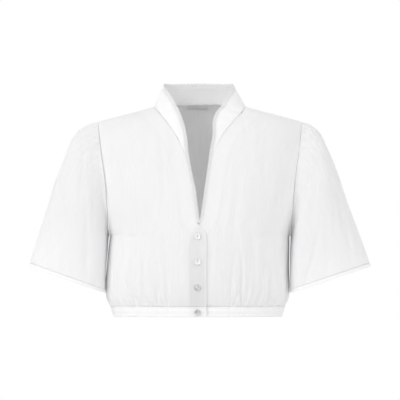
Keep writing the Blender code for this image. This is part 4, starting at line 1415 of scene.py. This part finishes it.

# Floor, light and camera


def floor():
    """A pale round floor below the blouse."""
    turn = np.linspace(0.0, 2 * math.pi, 96, endpoint=False)
    mesh = bpy.data.meshes.new("floor")
    points = np.stack([6.0 * np.cos(turn), 6.0 * np.sin(turn), np.full(96, -0.62)], axis=-1)
    mesh.from_pydata(points.tolist(), [], [list(range(96))])
    piece = bpy.data.objects.new("floor", mesh)
    bpy.context.scene.collection.objects.link(piece)
    stuff, nodes, links, shader = stuff_base("pale_floor", 0.9)
    place = nodes.new("ShaderNodeTexCoord").outputs["Object"]
    cloud = noise(nodes, links, place, 3.0, 2.0)
    links.new(ramp(nodes, links, cloud, (0.9, 0.9, 0.9), (0.93, 0.93, 0.93)), shader.inputs["Base Color"])
    mesh.materials.append(stuff)


def soft_light(name, place, size, power, colour):
    """A square area light turned to the middle of the blouse, not seen itself."""
    data = bpy.data.lights.new(name, "AREA")
    data.shape = "SQUARE"
    data.size = size
    data.energy = power
    data.color = colour
    lamp = bpy.data.objects.new(name, data)
    bpy.context.scene.collection.objects.link(lamp)
    lamp.location = place
    aim = np.array([0.0, 0.0, -0.18]) - np.array(place)
    lamp.rotation_mode = "QUATERNION"
    lamp.rotation_quaternion = Vector(aim).to_track_quat("-Z", "Y")
    lamp.visible_camera = False


def white_room(strength):
    """An even white surround: seen as white, and lighting the blouse at a strength."""
    world = bpy.data.worlds.new("white_room")
    bpy.context.scene.world = world
    world.use_nodes = True
    nodes = world.node_tree.nodes
    links = world.node_tree.links
    nodes.clear()
    seen = nodes.new("ShaderNodeBackground")
    seen.inputs["Color"].default_value = (1.0, 1.0, 1.0, 1.0)
    seen.inputs["Strength"].default_value = 1.0
    lit = nodes.new("ShaderNodeBackground")
    lit.inputs["Color"].default_value = (1.0, 1.0, 1.0, 1.0)
    lit.inputs["Strength"].default_value = strength
    path = nodes.new("ShaderNodeLightPath")
    mix = nodes.new("ShaderNodeMixShader")
    out = nodes.new("ShaderNodeOutputWorld")
    links.new(path.outputs["Is Camera Ray"], mix.inputs["Fac"])
    links.new(lit.outputs["Background"], mix.inputs[1])
    links.new(seen.outputs["Background"], mix.inputs[2])
    links.new(mix.outputs["Shader"], out.inputs["Surface"])


floor()
soft_light("key_light", (-2.0, -2.2, 1.3), 1.4, 34.0, (1.0, 1.0, 1.0))
soft_light("fill_light", (2.4, -1.8, 0.6), 1.8, 15.0, (1.0, 1.0, 0.99))
white_room(0.72)

camera_data = bpy.data.cameras.new("camera")
camera_data.sensor_width = 36.0
camera_data.lens = 36.0 * 20.0 / 0.7
camera_data.clip_start = 1.0
camera_data.clip_end = 60.0
camera = bpy.data.objects.new("camera", camera_data)
bpy.context.scene.collection.objects.link(camera)
camera.location = (0.0, -20.0, -0.16275)
camera.rotation_euler = (math.pi / 2, 0.0, 0.0)
bpy.context.scene.camera = camera
bpy.context.scene.view_settings.view_transform = "Standard"
bpy.context.scene.view_settings.look = "None"
